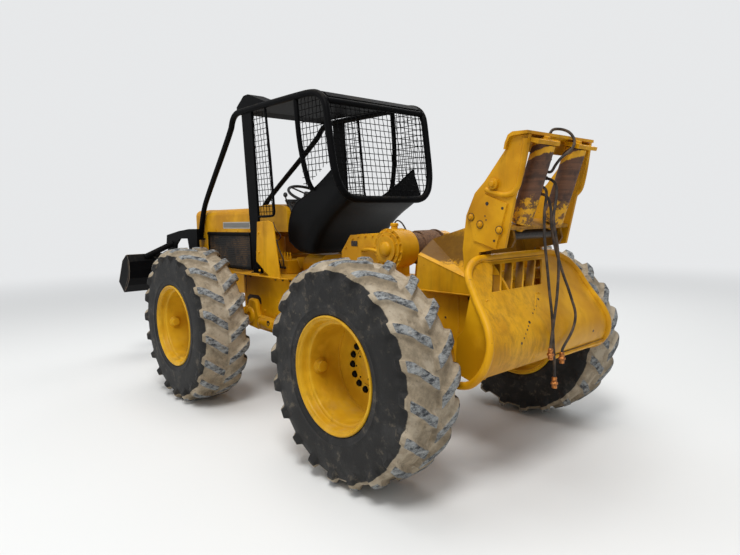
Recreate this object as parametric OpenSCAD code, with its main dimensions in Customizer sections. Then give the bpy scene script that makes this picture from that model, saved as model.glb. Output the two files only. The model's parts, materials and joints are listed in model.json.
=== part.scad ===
// Articulated cable skidder: a four wheel drive log hauler that bends in the middle to steer.
// The front frame carries the engine, hood, seat, canopy and a raised blade. The rear frame
// carries the winch, the arch with its fairlead rollers and the butt plate.
// +X is forward, +Y is the machine's left, +Z is up. All sizes are in millimetres.

/* [Machine] */

// Distance between the front and the rear axle
wheelbase = 2450; // [2200:10:2800]
// Distance between the left and the right wheel centres
track = 2000; // [1800:10:2200]
// Height of both axles above the ground, which is the tyre radius over the lugs
axle_z = 735; // [650:5:820]
// Distance from the steering pivot forward to the front axle
pivot_back = 1225; // [1100:5:1350]

/* [Wheels] */

// Section width of the tyre
tyre_w = 450; // [350:5:520]
// Height of the lugs above the carcass
lug_h = 38; // [20:1:60]
// Lugs on each side of one tyre
lug_n = 20; // [14:1:26]
// Thickness of a lug along the tread at its top
lug_t = 70; // [40:1:80]
// Angle that a lug runs back from its nose to the shoulder
lug_sweep = 14; // [8:0.5:20]
// Radius of the rim flange
flange_r = 382; // [340:1:400]
// Distance from the wheel centre plane to the outer face of a rim flange
flange_y = 216; // [180:1:240]
// Wheel bolts on each wheel
stud_n = 10; // [6:1:12]

/* [Canopy] */

// Outer radius of the canopy tubes
tube_r = 29; // [20:1:40]
// Half width of the canopy at its side tubes
canopy_y = 555; // [450:5:650]
// Height of the roof's highest line
roof_z = 2773; // [2500:1:2900]

/* [Hood] */

// Half width of the hood
hood_y = 350; // [300:5:420]
// Height of the hood's top
hood_z = 1840; // [1700:5:1950]
// Distance of the hood's front face ahead of the front axle
hood_x = 1250; // [1050:10:1350]

/* [Arch and winch] */

// Lean of the fairlead rollers from upright
roller_lean = 18.6; // [10:0.1:30]
// Radius of the fairlead rollers
roller_r = 68; // [50:1:80]
// Height of the winch drum's axis
drum_z = 1475; // [1400:5:1550]
// Distance of the winch drum's axis forward of the rear axle
drum_x = 400; // [300:5:500]

/* [Blade] */

// Half width of the blade
blade_y = 1000; // [800:10:1200]
// Distance of the blade arms' hinge ahead of the front axle
arm_x = 1000; // [850:10:1100]
// Height of the blade arms' hinge
arm_z = 950; // [850:5:1100]

/* [Hidden] */

$fn = 48;
deck_z = 1200;
fair_x = -772;
fair_z = 1905;
roller_half = 250;
roller_gap = 6;
roller_y = 188;
roller_pin = 25;
mid_top = roller_half + 21;
top_back = 60;
rear_end = fair_x - top_back * cos(roller_lean) - (roller_half + 30) * sin(roller_lean);
front_axle = wheelbase;
pivot_x = front_axle - pivot_back;
front_end = front_axle + 2150;
mid_x = (rear_end + front_end) / 2;
cradle_z = 945;
shaft_hole = 50;
fit = 0.05;
bead_r = flange_r - 20;
yellow = [0.83, 0.60, 0.12];
black = [0.05, 0.05, 0.06];
rubber = [0.12, 0.12, 0.12];
steel = [0.45, 0.43, 0.40];

// Lug stations: axial place, share of the sweep, drop below the tread, widening of the foot
lug_rows = [
    [8, 0.00, 4, 14],
    [110, 0.50, 0, 14],
    [186, 0.88, 8, 12],
    [223, 1.00, 58, 8],
];

// Places in the leaning fairlead: forward, sideways, up
function lean_at(x, y, z) = [
    fair_x + x * cos(roller_lean) - z * sin(roller_lean),
    y,
    fair_z + x * sin(roller_lean) + z * cos(roller_lean),
];

// Hose ports on the fairlead's middle plate: sideways, up
port_a = [25, -20];
port_b = [-20, 35];
port_c = [-10, -70];
port_d = [30, 80];
port_x = 60;
port_h = 24;

// Free hose routes behind the fairlead: points on the centre line
hose_a_route = concat([lean_at(port_x - port_h, port_a[0], port_a[1])], [
    [-765, 32, 1884], [-795, 60, 1850], [-812, 98, 1790], [-822, 128, 1714], [-834, 144, 1600],
    [-844, 144, 1496], [-850, 128, 1370], [-854, 110, 1240], [-858, 88, 1110], [-858, 68, 975],
    [-858, 50, 815], [-858, 42, 720], [-858, 40, 660],
]);
hose_b_route = concat([lean_at(port_x - port_h, port_b[0], port_b[1])], [
    [-785, -18, 1936], [-822, 0, 1905], [-850, 35, 1850], [-866, 75, 1780], [-873, 105, 1700],
    [-878, 95, 1610], [-882, 72, 1524], [-884, 55, 1400], [-884, 60, 1280], [-884, 73, 1172],
    [-884, 98, 1060], [-884, 118, 970], [-882, 129, 910], [-882, 132, 870],
]);
hose_c_route = concat([lean_at(port_x - port_h, port_c[0], port_c[1])], [
    [-750, -6, 1838], [-785, 8, 1800], [-812, 32, 1735], [-826, 50, 1650], [-832, 30, 1550],
    [-842, 1, 1457], [-852, -62, 1322], [-858, -115, 1230], [-862, -159, 1146], [-864, -196, 1075],
    [-864, -203, 1015], [-864, -175, 955], [-864, -129, 905], [-864, -80, 868], [-864, -46, 838],
    [-864, -38, 812],
]);
hose_d_start = [-800, 37, 2224];
hose_d_route = concat([hose_d_start], [
    [-806, 20, 2246], [-818, -12, 2254], [-840, -55, 2250], [-868, -82, 2230], [-892, -92, 2190],
    [-898, -80, 2150], [-896, -44, 2118], [-888, -8, 2094], [-872, 32, 2062], [-848, 46, 2026],
    [-812, 40, 1985],
], [lean_at(port_x - port_h, port_d[0], port_d[1])]);
hose_r = 9;

// Canopy tube routes
rear_low_z = 1865;
leg_y = hood_y + tube_r + 6;
screen_route = [
    [-1708, canopy_y - 40, 1985], [-1692, canopy_y - 6, 2090], [-1650, canopy_y, 2370],
    [-1625, canopy_y, 2560], [-1608, canopy_y, 2620], [-1570, canopy_y, 2672],
    [-1510, canopy_y, 2706], [-1430, canopy_y, 2724], [-1265, canopy_y, 2732],
    [-266, canopy_y, roof_z - tube_r], [-190, canopy_y - 4, 2738], [-125, canopy_y - 10, 2712],
    [-75, canopy_y - 18, 2668], [-30, canopy_y - 27, 2600], [850, 400, 1960], [970, leg_y, 1830],
    [1025, leg_y, 1700], [1085, leg_y, 1519],
];

function unit(v) = v / norm(v);
function tangent(p, i) =
    i == 0 ? unit(p[1] - p[0]) :
    i == len(p) - 1 ? unit(p[i] - p[i - 1]) :
    unit(unit(p[i] - p[i - 1]) + unit(p[i + 1] - p[i]));
function across(t, ref) = unit(ref - (ref * t) * t);

// A round tube swept along points as one closed skin
module sweep(points, r, sides, ref) {
    n = len(points);
    rings = [
        for (i = [0 : n - 1])
            let (t = tangent(points, i), a = across(t, ref), b = cross(t, a))
            for (k = [0 : sides - 1])
                points[i] + r * (a * cos(360 * k / sides) + b * sin(360 * k / sides))
    ];
    skin = [
        for (i = [0 : n - 2], k = [0 : sides - 1])
            let (m = (k + 1) % sides)
            [i * sides + k, i * sides + m, (i + 1) * sides + m, (i + 1) * sides + k]
    ];
    caps = [
        [for (k = [sides - 1 : -1 : 0]) k],
        [for (k = [0 : sides - 1]) (n - 1) * sides + k],
    ];
    polyhedron(rings, [for (f = concat(skin, caps)) [for (j = [len(f) - 1 : -1 : 0]) f[j]]], convexity = 6);
}

// Moves vehicle coordinates, which start at the rear axle, to the middle of the machine
module place() {
    translate([-mid_x, 0, 0]) children();
}

// The same for pieces of the front half, which are placed from the front axle
module at_front() {
    place() translate([front_axle, 0, 0]) children();
}

// A plate drawn in side view as [x, z] points, from y0 to y1
module side_plate(points, y0, y1) {
    translate([0, y1, 0]) rotate([90, 0, 0]) linear_extrude(y1 - y0) polygon(points);
}

// The same plate on both sides of the machine
module pair_plate(points, y0, y1) {
    side_plate(points, y0, y1);
    side_plate(points, -y1, -y0);
}

// A box between two corners
module block(a, b) {
    translate(a) cube(b - a);
}

// A rod along Y at [x, z], from y0 to y1
module cross_rod(x, z, r, y0, y1) {
    translate([x, y1, z]) rotate([90, 0, 0]) cylinder(r = r, h = y1 - y0);
}

// A straight rod from point a to point b
module rod(a, b, r) {
    d = b - a;
    translate(a)
        rotate([0, acos(d[2] / norm(d)), atan2(d[1], d[0])]) rotate([0, 0, 17])
            cylinder(r = r, h = norm(d));
}

// One lug of the tread: sections along it, each with four corners
module lug(side) {
    r0 = axle_z - lug_h - 12;
    pts = [
        for (row = lug_rows)
            let (
                y = side * row[0],
                a0 = row[1] * lug_sweep,
                top = axle_z - row[2],
                half = asin(lug_t / 2 / axle_z),
                foot = asin((lug_t / 2 + row[3]) / axle_z),
                low = min(r0, top - lug_h)
            )
            each [
                [top * cos(a0 - half), y, top * sin(a0 - half)],
                [top * cos(a0 + half), y, top * sin(a0 + half)],
                [low * cos(a0 + foot), y * 0.96, low * sin(a0 + foot)],
                [low * cos(a0 - foot), y * 0.96, low * sin(a0 - foot)],
            ]
    ];
    n = len(lug_rows);
    skin = [
        for (i = [0 : n - 2], k = [0 : 3])
            let (m = (k + 1) % 4)
            each [
                [i * 4 + k, i * 4 + m, (i + 1) * 4 + m],
                [i * 4 + k, (i + 1) * 4 + m, (i + 1) * 4 + k],
            ]
    ];
    ends = [[3, 2, 1], [3, 1, 0], [n * 4 - 4, n * 4 - 3, n * 4 - 2], [n * 4 - 4, n * 4 - 2, n * 4 - 1]];
    all_faces = concat(skin, ends);
    polyhedron(pts, side > 0 ? all_faces : [for (f = all_faces) [f[2], f[1], f[0]]]);
}

// Tyre carcass, open towards the rim, with its lugs; turns about Y
module tyre() {
    h = tyre_w / 2;
    r_top = axle_z - lug_h;
    color(rubber) union() {
        rotate([-90, 0, 0]) rotate_extrude($fn = 96) polygon([
            [bead_r, flange_y - 14], [flange_r, flange_y - 14], [flange_r + 4, flange_y - 4],
            [flange_r + 48, flange_y + 4],
            [520, h], [590, h - 4], [650, h - 22], [r_top - 12, h - 44], [r_top, 120],
            [r_top + 2, 0], [r_top, -120], [r_top - 12, -h + 44], [650, -h + 22], [590, -h + 4],
            [520, -h], [flange_r + 48, -flange_y - 4], [flange_r + 4, -flange_y + 4],
            [flange_r, -flange_y + 14], [bead_r, -flange_y + 14], [bead_r, -flange_y + 44],
            [flange_r + 48, -flange_y + 34], [590, -h + 50], [640, -h + 70], [640, h - 70],
            [590, h - 50], [flange_r + 48, flange_y - 34], [bead_r, flange_y - 44],
        ]);
        for (k = [0 : lug_n - 1]) {
            rotate([0, 360 / lug_n * (k + 0.25), 0]) lug(1);
            rotate([0, 360 / lug_n * (k + 0.75), 0]) lug(-1);
        }
    }
}

// Deep dished rim, its outer side towards +Y, with the hub drum that it is bolted to
module rim() {
    disc_y = -120;
    color(yellow) difference() {
        union() {
            rotate([-90, 0, 0]) rotate_extrude($fn = 96) polygon([
                [bead_r - 17, flange_y - 40], [bead_r - 10, flange_y - 12], [flange_r - 12, flange_y - 4],
                [flange_r - 8, flange_y], [flange_r, flange_y], [flange_r, flange_y - 14],
                [bead_r, flange_y - 14], [bead_r, 150], [bead_r - 27, 120], [bead_r - 27, -120],
                [bead_r, -150], [bead_r, -flange_y + 14], [flange_r, -flange_y + 14],
                [flange_r, -flange_y], [flange_r - 8, -flange_y], [bead_r - 10, -flange_y + 12],
                [bead_r - 17, -flange_y + 40], [bead_r - 17, -150], [bead_r - 37, -120],
                [bead_r - 37, 120], [bead_r - 17, 150],
            ]);
            rotate([-90, 0, 0]) rotate_extrude($fn = 96) polygon([
                [0, disc_y - 6], [160, disc_y - 6], [160, -245], [0, -245],
            ]);
            rotate([-90, 0, 0]) rotate_extrude($fn = 96) polygon([
                [0, disc_y - 7], [bead_r - 62, disc_y - 7], [bead_r - 32, disc_y - 14],
                [bead_r - 32, disc_y + 2], [bead_r - 62, disc_y + 9], [0, disc_y + 9],
            ]);
            rotate([-90, 0, 0]) rotate_extrude() polygon([
                [0, disc_y], [112, disc_y], [108, disc_y + 40], [92, disc_y + 52], [0, disc_y + 52],
            ]);
            for (k = [0 : stud_n - 1]) {
                rotate([0, 360 / stud_n * (k + 0.5), 0]) translate([196, disc_y, 0])
                    rotate([-90, 0, 0]) cylinder(r = 15, h = 34, $fn = 6);
            }
            rotate([0, 35, 0]) translate([bead_r - 35, 60, 0]) rotate([0, -90, 0]) cylinder(r = 26, h = 30);
        }
        rotate([-90, 0, 0]) translate([0, 0, -260]) cylinder(r = 60 + fit, h = 180);
    }
}

// Places a wheel: x of the axle, side 1 for left and -1 for right
module wheel_at(x, side) {
    place() translate([x, side * track / 2, axle_z]) mirror([0, side < 0 ? 1 : 0, 0]) children();
}

module tyre_rear_left() { wheel_at(0, 1) tyre(); }
module rim_rear_left() { wheel_at(0, 1) rim(); }
module tyre_rear_right() { wheel_at(0, -1) tyre(); }
module rim_rear_right() { wheel_at(0, -1) rim(); }
module tyre_front_left() { wheel_at(front_axle, 1) tyre(); }
module rim_front_left() { wheel_at(front_axle, 1) rim(); }
module tyre_front_right() { wheel_at(front_axle, -1) tyre(); }
module rim_front_right() { wheel_at(front_axle, -1) rim(); }

// Rigid drive axle along Y: bowl in the middle, tapered horns, spindles in the wheel hubs
module axle_beam() {
    end = track / 2 - 250;
    tip = track / 2 - 82;
    color(yellow) union() {
        rotate([-90, 11, 0]) rotate_extrude($fn = 64) polygon([
            [0, -tip], [60, -tip], [60, -end], [135, -end], [135, -end + 60], [100, -end + 90],
            [92, -420], [120, -300], [170, -190], [195, -110], [205, 0], [195, 110], [170, 190],
            [120, 300], [92, 420], [100, end - 90], [135, end - 60], [135, end], [60, end],
            [60, tip], [0, tip],
        ]);
        translate([60, 0, 0]) rotate([17, 0, 0]) rotate([0, 90, 0]) cylinder(r = 130, h = 170);
    }
}

module rear_axle() {
    place() translate([0, 0, axle_z]) axle_beam();
    color(yellow) place() for (s = [-1, 1]) {
        block([-90, s > 0 ? 262 : -313, axle_z + 75], [90, s > 0 ? 313 : -262, axle_z + 170]);
    }
    color(steel) place() rod([225, 0, axle_z], [pivot_x - 130, 0, axle_z], 38);
    color(steel) place() for (s = [-1, 1]) {
        hull() {
            block([pivot_x - 140, -42, axle_z + (s > 0 ? 56 : -74)], [pivot_x - 100, 42, axle_z + (s > 0 ? 74 : -56)]);
            translate([pivot_x, 0, axle_z + (s > 0 ? 56 : -74)]) cylinder(r = 36, h = 18, $fn = 32);
        }
    }
    color(steel) place() block([pivot_x - 145, -42, axle_z - 74], [pivot_x - 118, 42, axle_z + 74]);
}

module front_axle() {
    place() translate([front_axle, 0, axle_z]) rotate([0, 0, 180]) axle_beam();
    color(yellow) place() block([front_axle - 150, -90, axle_z + 130], [front_axle + 140, 90, cradle_z]);
}

// Outline of the front frame's side plates in side view
front_side = [
    [-650, deck_z - 8], [1190, deck_z - 8], [1190, 880], [1030, 800], [550, 760], [390, 800],
    [310, 940], [-310, 940], [-390, 700], [-650, 660],
];
// The narrow box between the steering cylinders
neck_side = [[-972, deck_z - 8], [-649, deck_z - 8], [-649, 640], [-972, 440]];
skirt_side = [
    [-1070, deck_z - 8], [-110, deck_z - 8], [-120, 760], [-200, 660], [-790, 640],
    [-950, 760], [-1070, 1000],
];

module front_frame() {
    color(yellow) at_front() {
        pair_plate(front_side, 305, 330);
        pair_plate(neck_side, 150, 175);
        difference() {
            union() {
                block([-652, -330, 640], [-627, 330, deck_z - 8]);
                block([-1000, -175, 420], [-970, 175, deck_z - 8]);
            }
            translate([-1010, 0, axle_z]) rotate([0, 90, 0]) cylinder(r = shaft_hole, h = 400);
        }
        difference() {
            pair_plate(skirt_side, 480, 500);
            for (s = [-1, 1]) translate([0, s * 490, 0]) hull() {
                cross_rod(-320, 860, 90, -30, 30);
                cross_rod(-320, 780, 90, -30, 30);
            }
        }
        for (s = [-1, 1]) {
            block([-150, s > 0 ? 325 : -490, 700], [-125, s > 0 ? 490 : -325, deck_z - 10]);
            block([-460, s > 0 ? 325 : -490, 660], [-435, s > 0 ? 490 : -325, deck_z - 10]);
            block([-670, s > 0 ? 325 : -445, 842], [-550, s > 0 ? 445 : -325, 860]);
            block([-670, s > 0 ? 325 : -445, 740], [-550, s > 0 ? 445 : -325, 758]);
            translate([steer_a[0], s * steer_a[1], 735]) cylinder(r = 20, h = 130);
            cross_rod(lift_a[0], lift_a[2], 40, s > 0 ? 328 : -371, s > 0 ? 371 : -328);
            cross_rod(lift_a[0], lift_a[2], 20, s > 0 ? 370 : -450, s > 0 ? 450 : -370);
        }
        block([-628, -310, 660], [-390, 310, 685]);
        block([-1070, -499, deck_z - 20], [-620, 499, deck_z - 8]);
        block([290, -310, 930], [315, 310, 985]);
        block([1150, -330, 905], [1190, 330, deck_z - 8]);
        block([-160, -310, cradle_z], [150, 310, 975]);
        difference() {
            union() {
                for (z = [1030, 900, 600, 470]) {
                    translate([0, 0, z]) linear_extrude(30) polygon([
                        [-998, -170], [-998, 170], [-pivot_back + 65, 95], [-pivot_back - 75, 80],
                        [-pivot_back - 75, -80], [-pivot_back + 65, -95],
                    ]);
                }
            }
            translate([-pivot_back, 0, 400]) cylinder(r = 40, h = 800);
        }
        for (z = [885, 455]) translate([-pivot_back, 0, z]) cylinder(r = 40, h = 190);
        for (s = [-1, 1]) {
            cross_rod(arm_x, arm_z, 55, s > 0 ? 328 : -452, s > 0 ? 452 : -328);
            cross_rod(arm_x, arm_z, 32, s > 0 ? 450 : -505, s > 0 ? 505 : -450);
        }
    }
}

module engine() {
    color(steel) at_front() {
        block([30, -235, 985], [930, 235, 1560]);
        block([-627, -190, 975], [31, 190, 1180]);
        block([-620, -150, 685], [-410, 150, 976]);
        translate([-pivot_back, 0, axle_z - 50]) cylinder(r = 45, h = 100);
        rod([-pivot_back, 0, axle_z], [-230, 0, axle_z], 32);
    }
}

// Hood: rounded top, open below, with the radiator front
module hood() {
    color(yellow) at_front() difference() {
        union() {
            translate([-30, 0, 0]) rotate([90, 0, 90]) linear_extrude(hood_x + 30) polygon(concat(
                [[-hood_y, deck_z], [hood_y, deck_z], [hood_y, hood_z - 70]],
                [for (a = [10 : 20 : 90]) [hood_y - 70 + 70 * cos(a), hood_z - 70 + 70 * sin(a)]],
                [for (a = [90 : 20 : 170]) [-hood_y + 70 + 70 * cos(a), hood_z - 70 + 70 * sin(a)]],
                [[-hood_y, hood_z - 70]]
            ));
        }
        translate([-40, 0, 0]) rotate([90, 0, 90]) linear_extrude(hood_x + 10) polygon([
            [-hood_y + 12, deck_z - 10], [hood_y - 12, deck_z - 10], [hood_y - 12, hood_z - 80],
            [hood_y - 80, hood_z - 12], [-hood_y + 80, hood_z - 12], [-hood_y + 12, hood_z - 80],
        ]);
        block([-50, -400, deck_z - 1], [962, 400, 1592]);
        block([hood_x - 60, -270, 1270], [hood_x + 10, 270, 1740]);
    }
}

// Black louvred side screens below the hood
module side_screens() {
    color(black) at_front() for (s = [-1, 1]) {
        difference() {
            block([-26, s > 0 ? hood_y - 14 : -hood_y + 2, deck_z + 4], [958, s > 0 ? hood_y - 2 : -hood_y + 14, 1588]);
            for (i = [0 : 13]) {
                block([30 + i * 64, s > 0 ? 300 : -400, deck_z + 50], [54 + i * 64, s > 0 ? 400 : -300, 1545]);
            }
        }
    }
}

module grille() {
    color(black) at_front() {
        for (i = [0 : 12]) block([hood_x - 34, -270, 1285 + i * 36], [hood_x - 22, 270, 1297 + i * 36]);
        for (y = [-255, -5, 245]) block([hood_x - 42, y, 1272], [hood_x - 30, y + 12, 1738]);
    }
}

// Instrument cowl behind the hood, with the steering column's socket
module cowl_body() {
    color(yellow) at_front() {
        side_plate(concat(
            [[-32, 1600], [-32, hood_z + 10]],
            [[-400, hood_z + 28], [-550, hood_z + 18]],
            [for (a = [100 : 20 : 180]) [-610 + 70 * cos(a), 1775 + 70 * sin(a)]],
            [[-680, 1600]]
        ), -330, 330);
        block([-250, -200, deck_z], [-32, 200, 1602]);
    }
}
module cowl() {
    difference() {
        cowl_body();
        at_front() column_at() translate([0, 0, -152]) cylinder(r = 18 + fit, h = 150);
    }
}
module column_at() {
    translate([-550, 0, 1960]) rotate([0, -28, 0]) children();
}

module steering_wheel() {
    color(black) at_front() column_at() {
        rotate_extrude($fn = 48) translate([190, 0]) circle(r = 14, $fn = 24);
        for (a = [30, 150, 270]) rotate([0, 0, a]) rotate([0, 90, 0]) cylinder(r = 8, h = 190, $fn = 24);
        translate([0, 0, -22]) cylinder(r = 34, h = 40);
        translate([0, 0, -150]) cylinder(r = 18, h = 140);
    }
}

// Deck plates, steps and the yellow side panels by the driver's feet
module platform() {
    color(yellow) at_front() {
        block([-1070, -600, deck_z - 8], [-110, 600, deck_z]);
        for (s = [-1, 1]) {
            side_plate([[-580, 1700], [-780, 1710], [-860, 1670], [-940, 1210], [-930, deck_z - 1],
                [-530, deck_z - 1], [-530, 1330]], s > 0 ? 588 : -600, s > 0 ? 600 : -588);
            block([-410, s > 0 ? 500 : -620, 900], [-170, s > 0 ? 620 : -500, 915]);
            block([-400, s > 0 ? 590 : -602, 914], [-380, s > 0 ? 602 : -590, deck_z - 7]);
            block([-200, s > 0 ? 590 : -602, 914], [-180, s > 0 ? 602 : -590, deck_z - 7]);
        }
    }
}

module tank() {
    color(yellow) at_front() translate([-1105, 0, 0]) rotate([90, 0, 90]) linear_extrude(260) polygon(concat(
        [[-280, deck_z], [280, deck_z]],
        [for (a = [0 : 15 : 90]) [180 + 100 * cos(a), 1290 + 100 * sin(a)]],
        [for (a = [90 : 15 : 180]) [-180 + 100 * cos(a), 1290 + 100 * sin(a)]]
    ));
}

module seat() {
    color(black) at_front() {
        side_plate([[-1210, 1560], [-790, 1575], [-750, 1590], [-744, 1640], [-780, 1680], [-1140, 1668],
            [-1182, 1820], [-1206, 1915], [-1235, 1938], [-1272, 1930], [-1286, 1900], [-1262, 1760]], -240, 240);
        side_plate([[-1158, 1413], [-1084, 1424], [-948, 1500], [-948, 1566], [-1158, 1566]], -150, 150);
    }
}

// Curved black shell behind and below the seat: outer and inner profile of the middle sheet
shell_out = [[-1693.5, 1868], [-1635, 1828], [-1465, 1739], [-1330, 1635], [-1235, 1520], [-1165, 1400],
    [-1080, 1412], [-938, 1488]];
shell_in = [[-1686, 1880], [-1628, 1839], [-1459, 1751], [-1322, 1646], [-1224, 1526], [-1158, 1413],
    [-1084, 1424], [-948, 1500]];
// Front edge of the shell's cheeks, one place for each of the first seven of the profile
shell_rim = [[-1580, 2140], [-1370, 2012], [-1150, 1912], [-1010, 1868], [-910, 1760], [-866, 1610], [-890, 1520]];
shell_y = 450;
shell_bend = 110;

// One cheek with its rounded bend into the middle sheet, as a closed skin of rows across it
module cheek(s) {
    n = len(shell_rim);
    rows = [for (i = [0 : n - 1]) let (r = shell_rim[i], k = min(0.6, shell_bend / norm(r - shell_out[i]))) each [
        for (side = [0, 1]) let (
            c = side == 0 ? shell_out[i] : shell_in[i],
            y = side == 0 ? shell_y : shell_y - 12,
            q = [[1, y], [k, y], [k * 0.29, y - 0.29 * (y - 340)], [0, 340]]
        ) each [for (p = side == 0 ? q : [q[3], q[2], q[1], q[0]])
            [c[0] + p[0] * (r[0] - c[0]), s * p[1], c[1] + p[0] * (r[1] - c[1])]]
    ]];
    skin = [for (i = [0 : n - 2], j = [0 : 7]) let (m = (j + 1) % 8)
        each [[i * 8 + j, i * 8 + m, (i + 1) * 8 + m], [i * 8 + j, (i + 1) * 8 + m, (i + 1) * 8 + j]]];
    ends = [for (e = [0, n - 1]) each [for (t = [[0, 1, 6], [0, 6, 7], [1, 2, 5], [1, 5, 6], [2, 3, 4], [2, 4, 5]])
        e == 0 ? [t[2] , t[1], t[0]] : [e * 8 + t[0], e * 8 + t[1], e * 8 + t[2]]]];
    all_faces = concat(skin, ends);
    polyhedron(rows, s > 0 ? all_faces : [for (f = all_faces) [f[2], f[1], f[0]]], convexity = 6);
}

module seat_shell() {
    color(black) at_front() {
        side_plate(concat(shell_out, [for (i = [len(shell_in) - 1 : -1 : 0]) shell_in[i]]), -342, 342);
        for (s = [-1, 1]) cheek(s);
    }
}

// Left half of the low rear tube, from the upright to the middle
low_loop = [[-1708, canopy_y - 40, 1985], [-1714, canopy_y - 60, 1945], [-1719, canopy_y - 105, 1898],
    [-1722, canopy_y - 160, rear_low_z + 10], [-1723, canopy_y - 230, rear_low_z]];

module canopy_frame() {
    color(black) at_front() {
        for (s = [-1, 1]) {
            sweep([for (p = screen_route) [p[0], s * p[1], p[2]]], tube_r, 12, [0, 1, 0]);
            block([1030, s > 0 ? hood_y : -leg_y - 40, 1500], [1150, s > 0 ? leg_y + 40 : -hood_y, 1520]);
            side_plate([[-480, 2725], [-300, 2725], [-410, deck_z], [-560, deck_z]],
                s > 0 ? 534 : -560, s > 0 ? 560 : -534);
            sweep([[-1206, s * canopy_y, 2710], [-1238, s * canopy_y, 2350], [-1262, s * 500, 2040]], 22, 12, [0, 1, 0]);
        }
        sweep(concat(low_loop, [for (i = [len(low_loop) - 1 : -1 : 0]) flip(low_loop[i])]), tube_r, 12, [1, 0, 0.2]);
        rod([-1600, canopy_y, 2640], [-1600, -canopy_y, 2640], tube_r - 4);
    }
}

// Roof plate, rolled down over the rear tube, with the lamp guards on its front edge
module roof() {
    color(black) at_front() {
        side_plate([[-1590, roof_z - 101], [-1540, roof_z - 63], [-1480, roof_z - 46], [-1265, roof_z - 34],
            [-266, roof_z - 1], [-150, roof_z - 27], [-144, roof_z - 20], [-264, roof_z + 7],
            [-1270, roof_z - 26], [-1485, roof_z - 38], [-1548, roof_z - 57], [-1596, roof_z - 94]],
            -520, 520);
        for (s = [-1, 1]) side_plate([[-620, roof_z - 8], [-200, roof_z], [-110, roof_z - 16], [-110, roof_z + 44],
            [-250, roof_z + 130], [-330, roof_z + 132], [-620, roof_z + 24]],
            s > 0 ? 330 : -500, s > 0 ? 500 : -330);
    }
}

// Mesh screens as flat panels with their bars
module screens() {
    color(black) at_front() {
        for (i = [0 : 14]) {
            y = -483 + i * 69;
            z = lookup(abs(y), [[325, 1870], [395, 1885], [450, 1915], [485, 1960]]);
            rod([mesh_x(z), y, z], [mesh_x(2630), y, 2630], 4, $fn = 4);
        }
        for (i = [0 : 9]) {
            z = 1905 + i * 70;
            y = lookup(z, [[1905, 455], [1945, 495], [1985, 515], [2090, 545]]);
            block([mesh_x(z) - 4, -y, z], [mesh_x(z) + 4, y, z + 8]);
        }
    }
}
function mesh_x(z) = -1722 + (z - 1872) * 0.16;

// Mesh panels in the canopy's sides: a narrow one behind each post and one by the rear upright
module side_mesh() {
    color(black) at_front() for (s = [-1, 1]) {
        y = s * (canopy_y - 8);
        sweep([[-712, y, 2708], [-742, y, 2450], [-766, y, 2250], [-801, y, 1800], [-797, y, 1768],
            [-774, y, 1750], [-538, y, 1748]], 10, 8, [0, 1, 0]);
        for (i = [0 : 11]) {
            z = 1815 + i * 74;
            block([lookup(z, [[1800, -801], [2250, -766], [2450, -742], [2708, -712]]), y - 3, z],
                [lookup(z, [[1748, -532], [2725, -481]]), y + 3, z + 6]);
        }
        for (i = [1 : 3]) rod([-801 + i * 62, y, 1750], [-712 + i * 62, y, 2712], 3, $fn = 4);
        for (i = [0 : 7]) {
            z = 2130 + i * 74;
            block([lookup(z, [[2090, -1682], [2370, -1650], [2560, -1625], [2672, -1570]]), y - 3, z],
                [lookup(z, [[2350, -1238], [2710, -1206]]), y + 3, z + 6]);
        }
        for (i = [1 : 4]) rod([-1676 + i * 76, y, 2128], [-1590 + i * 76, y, 2712], 3, $fn = 4);
    }
}

// Outline of the rear frame's side plates in side view
rear_side = [
    [pivot_x - 215, 420], [pivot_x - 215, 1180], [620, 1195], [-430, 1195], [-560, 1160], [-640, 1000], [-640, 740], [-590, 722],
    [-420, 640], [-260, 640], [-200, 905], [190, 905], [300, 620], [640, 480], [820, 420],
];

module rear_frame() {
    color(yellow) place() difference() {
        union() {
            pair_plate(rear_side, 275, 300);
            block([pivot_x - 240, -300, 420], [pivot_x - 215, 300, 1180]);
            block([300, -280, 900], [325, 280, 1180]);
            block([-300, -280, 700], [-275, 280, 1180]);
            block([-200, -280, 950], [190, 280, 970]);
            for (z = [935, 505]) translate([0, 0, z]) linear_extrude(90) polygon([
                [pivot_x - 217, -160], [pivot_x - 217, 160], [pivot_x - 25, 80], [pivot_x + 65, 60],
                [pivot_x + 65, -60], [pivot_x - 25, -80],
            ]);
            for (s = [-1, 1], z = [752, 830]) {
                block([pivot_x - 216, s > 0 ? 175 : -270, z], [pivot_x - 85, s > 0 ? 270 : -175, z + 18]);
            }
        }
        translate([pivot_x, 0, 400]) cylinder(r = 40 + fit, h = 800);
        translate([pivot_x - 255, 0, axle_z]) rotate([0, 90, 0]) cylinder(r = shaft_hole, h = 60);
    }
}

// Winch housing: bolted gear case on the left, flange, drum guard, right bearing housing
module winch_case() {
    color(yellow) place() difference() {
        union() {
            side_plate([[330, 1196], [330, 1603], [880, 1578], [1000, 1440], [1000, 1300], [900, 1196]], 225, 300);
            cross_rod(drum_x, drum_z, 157, 180, 322);
            cross_rod(drum_x, drum_z, 132, 320, 336);
            cross_rod(drum_x, drum_z, 100, 330, 352);
            cross_rod(drum_x, drum_z, 145, 130, 182);
            side_plate([[240, 1196], [300, 1580], [360, 1600], [520, 1596], [600, 1500], [640, 1196]], -300, -215);
            block([120, -290, 1195], [960, 290, 1216]);
            block([700, -216, 1215], [900, 226, 1500]);
            cross_rod(400, 1600, 26, 240, 240 + 1);
            translate([390, 262, 1590]) cylinder(r = 26, h = 60);
        }
        cross_rod(drum_x, drum_z, 40 + fit, -270, 180);
    }
}

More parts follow.
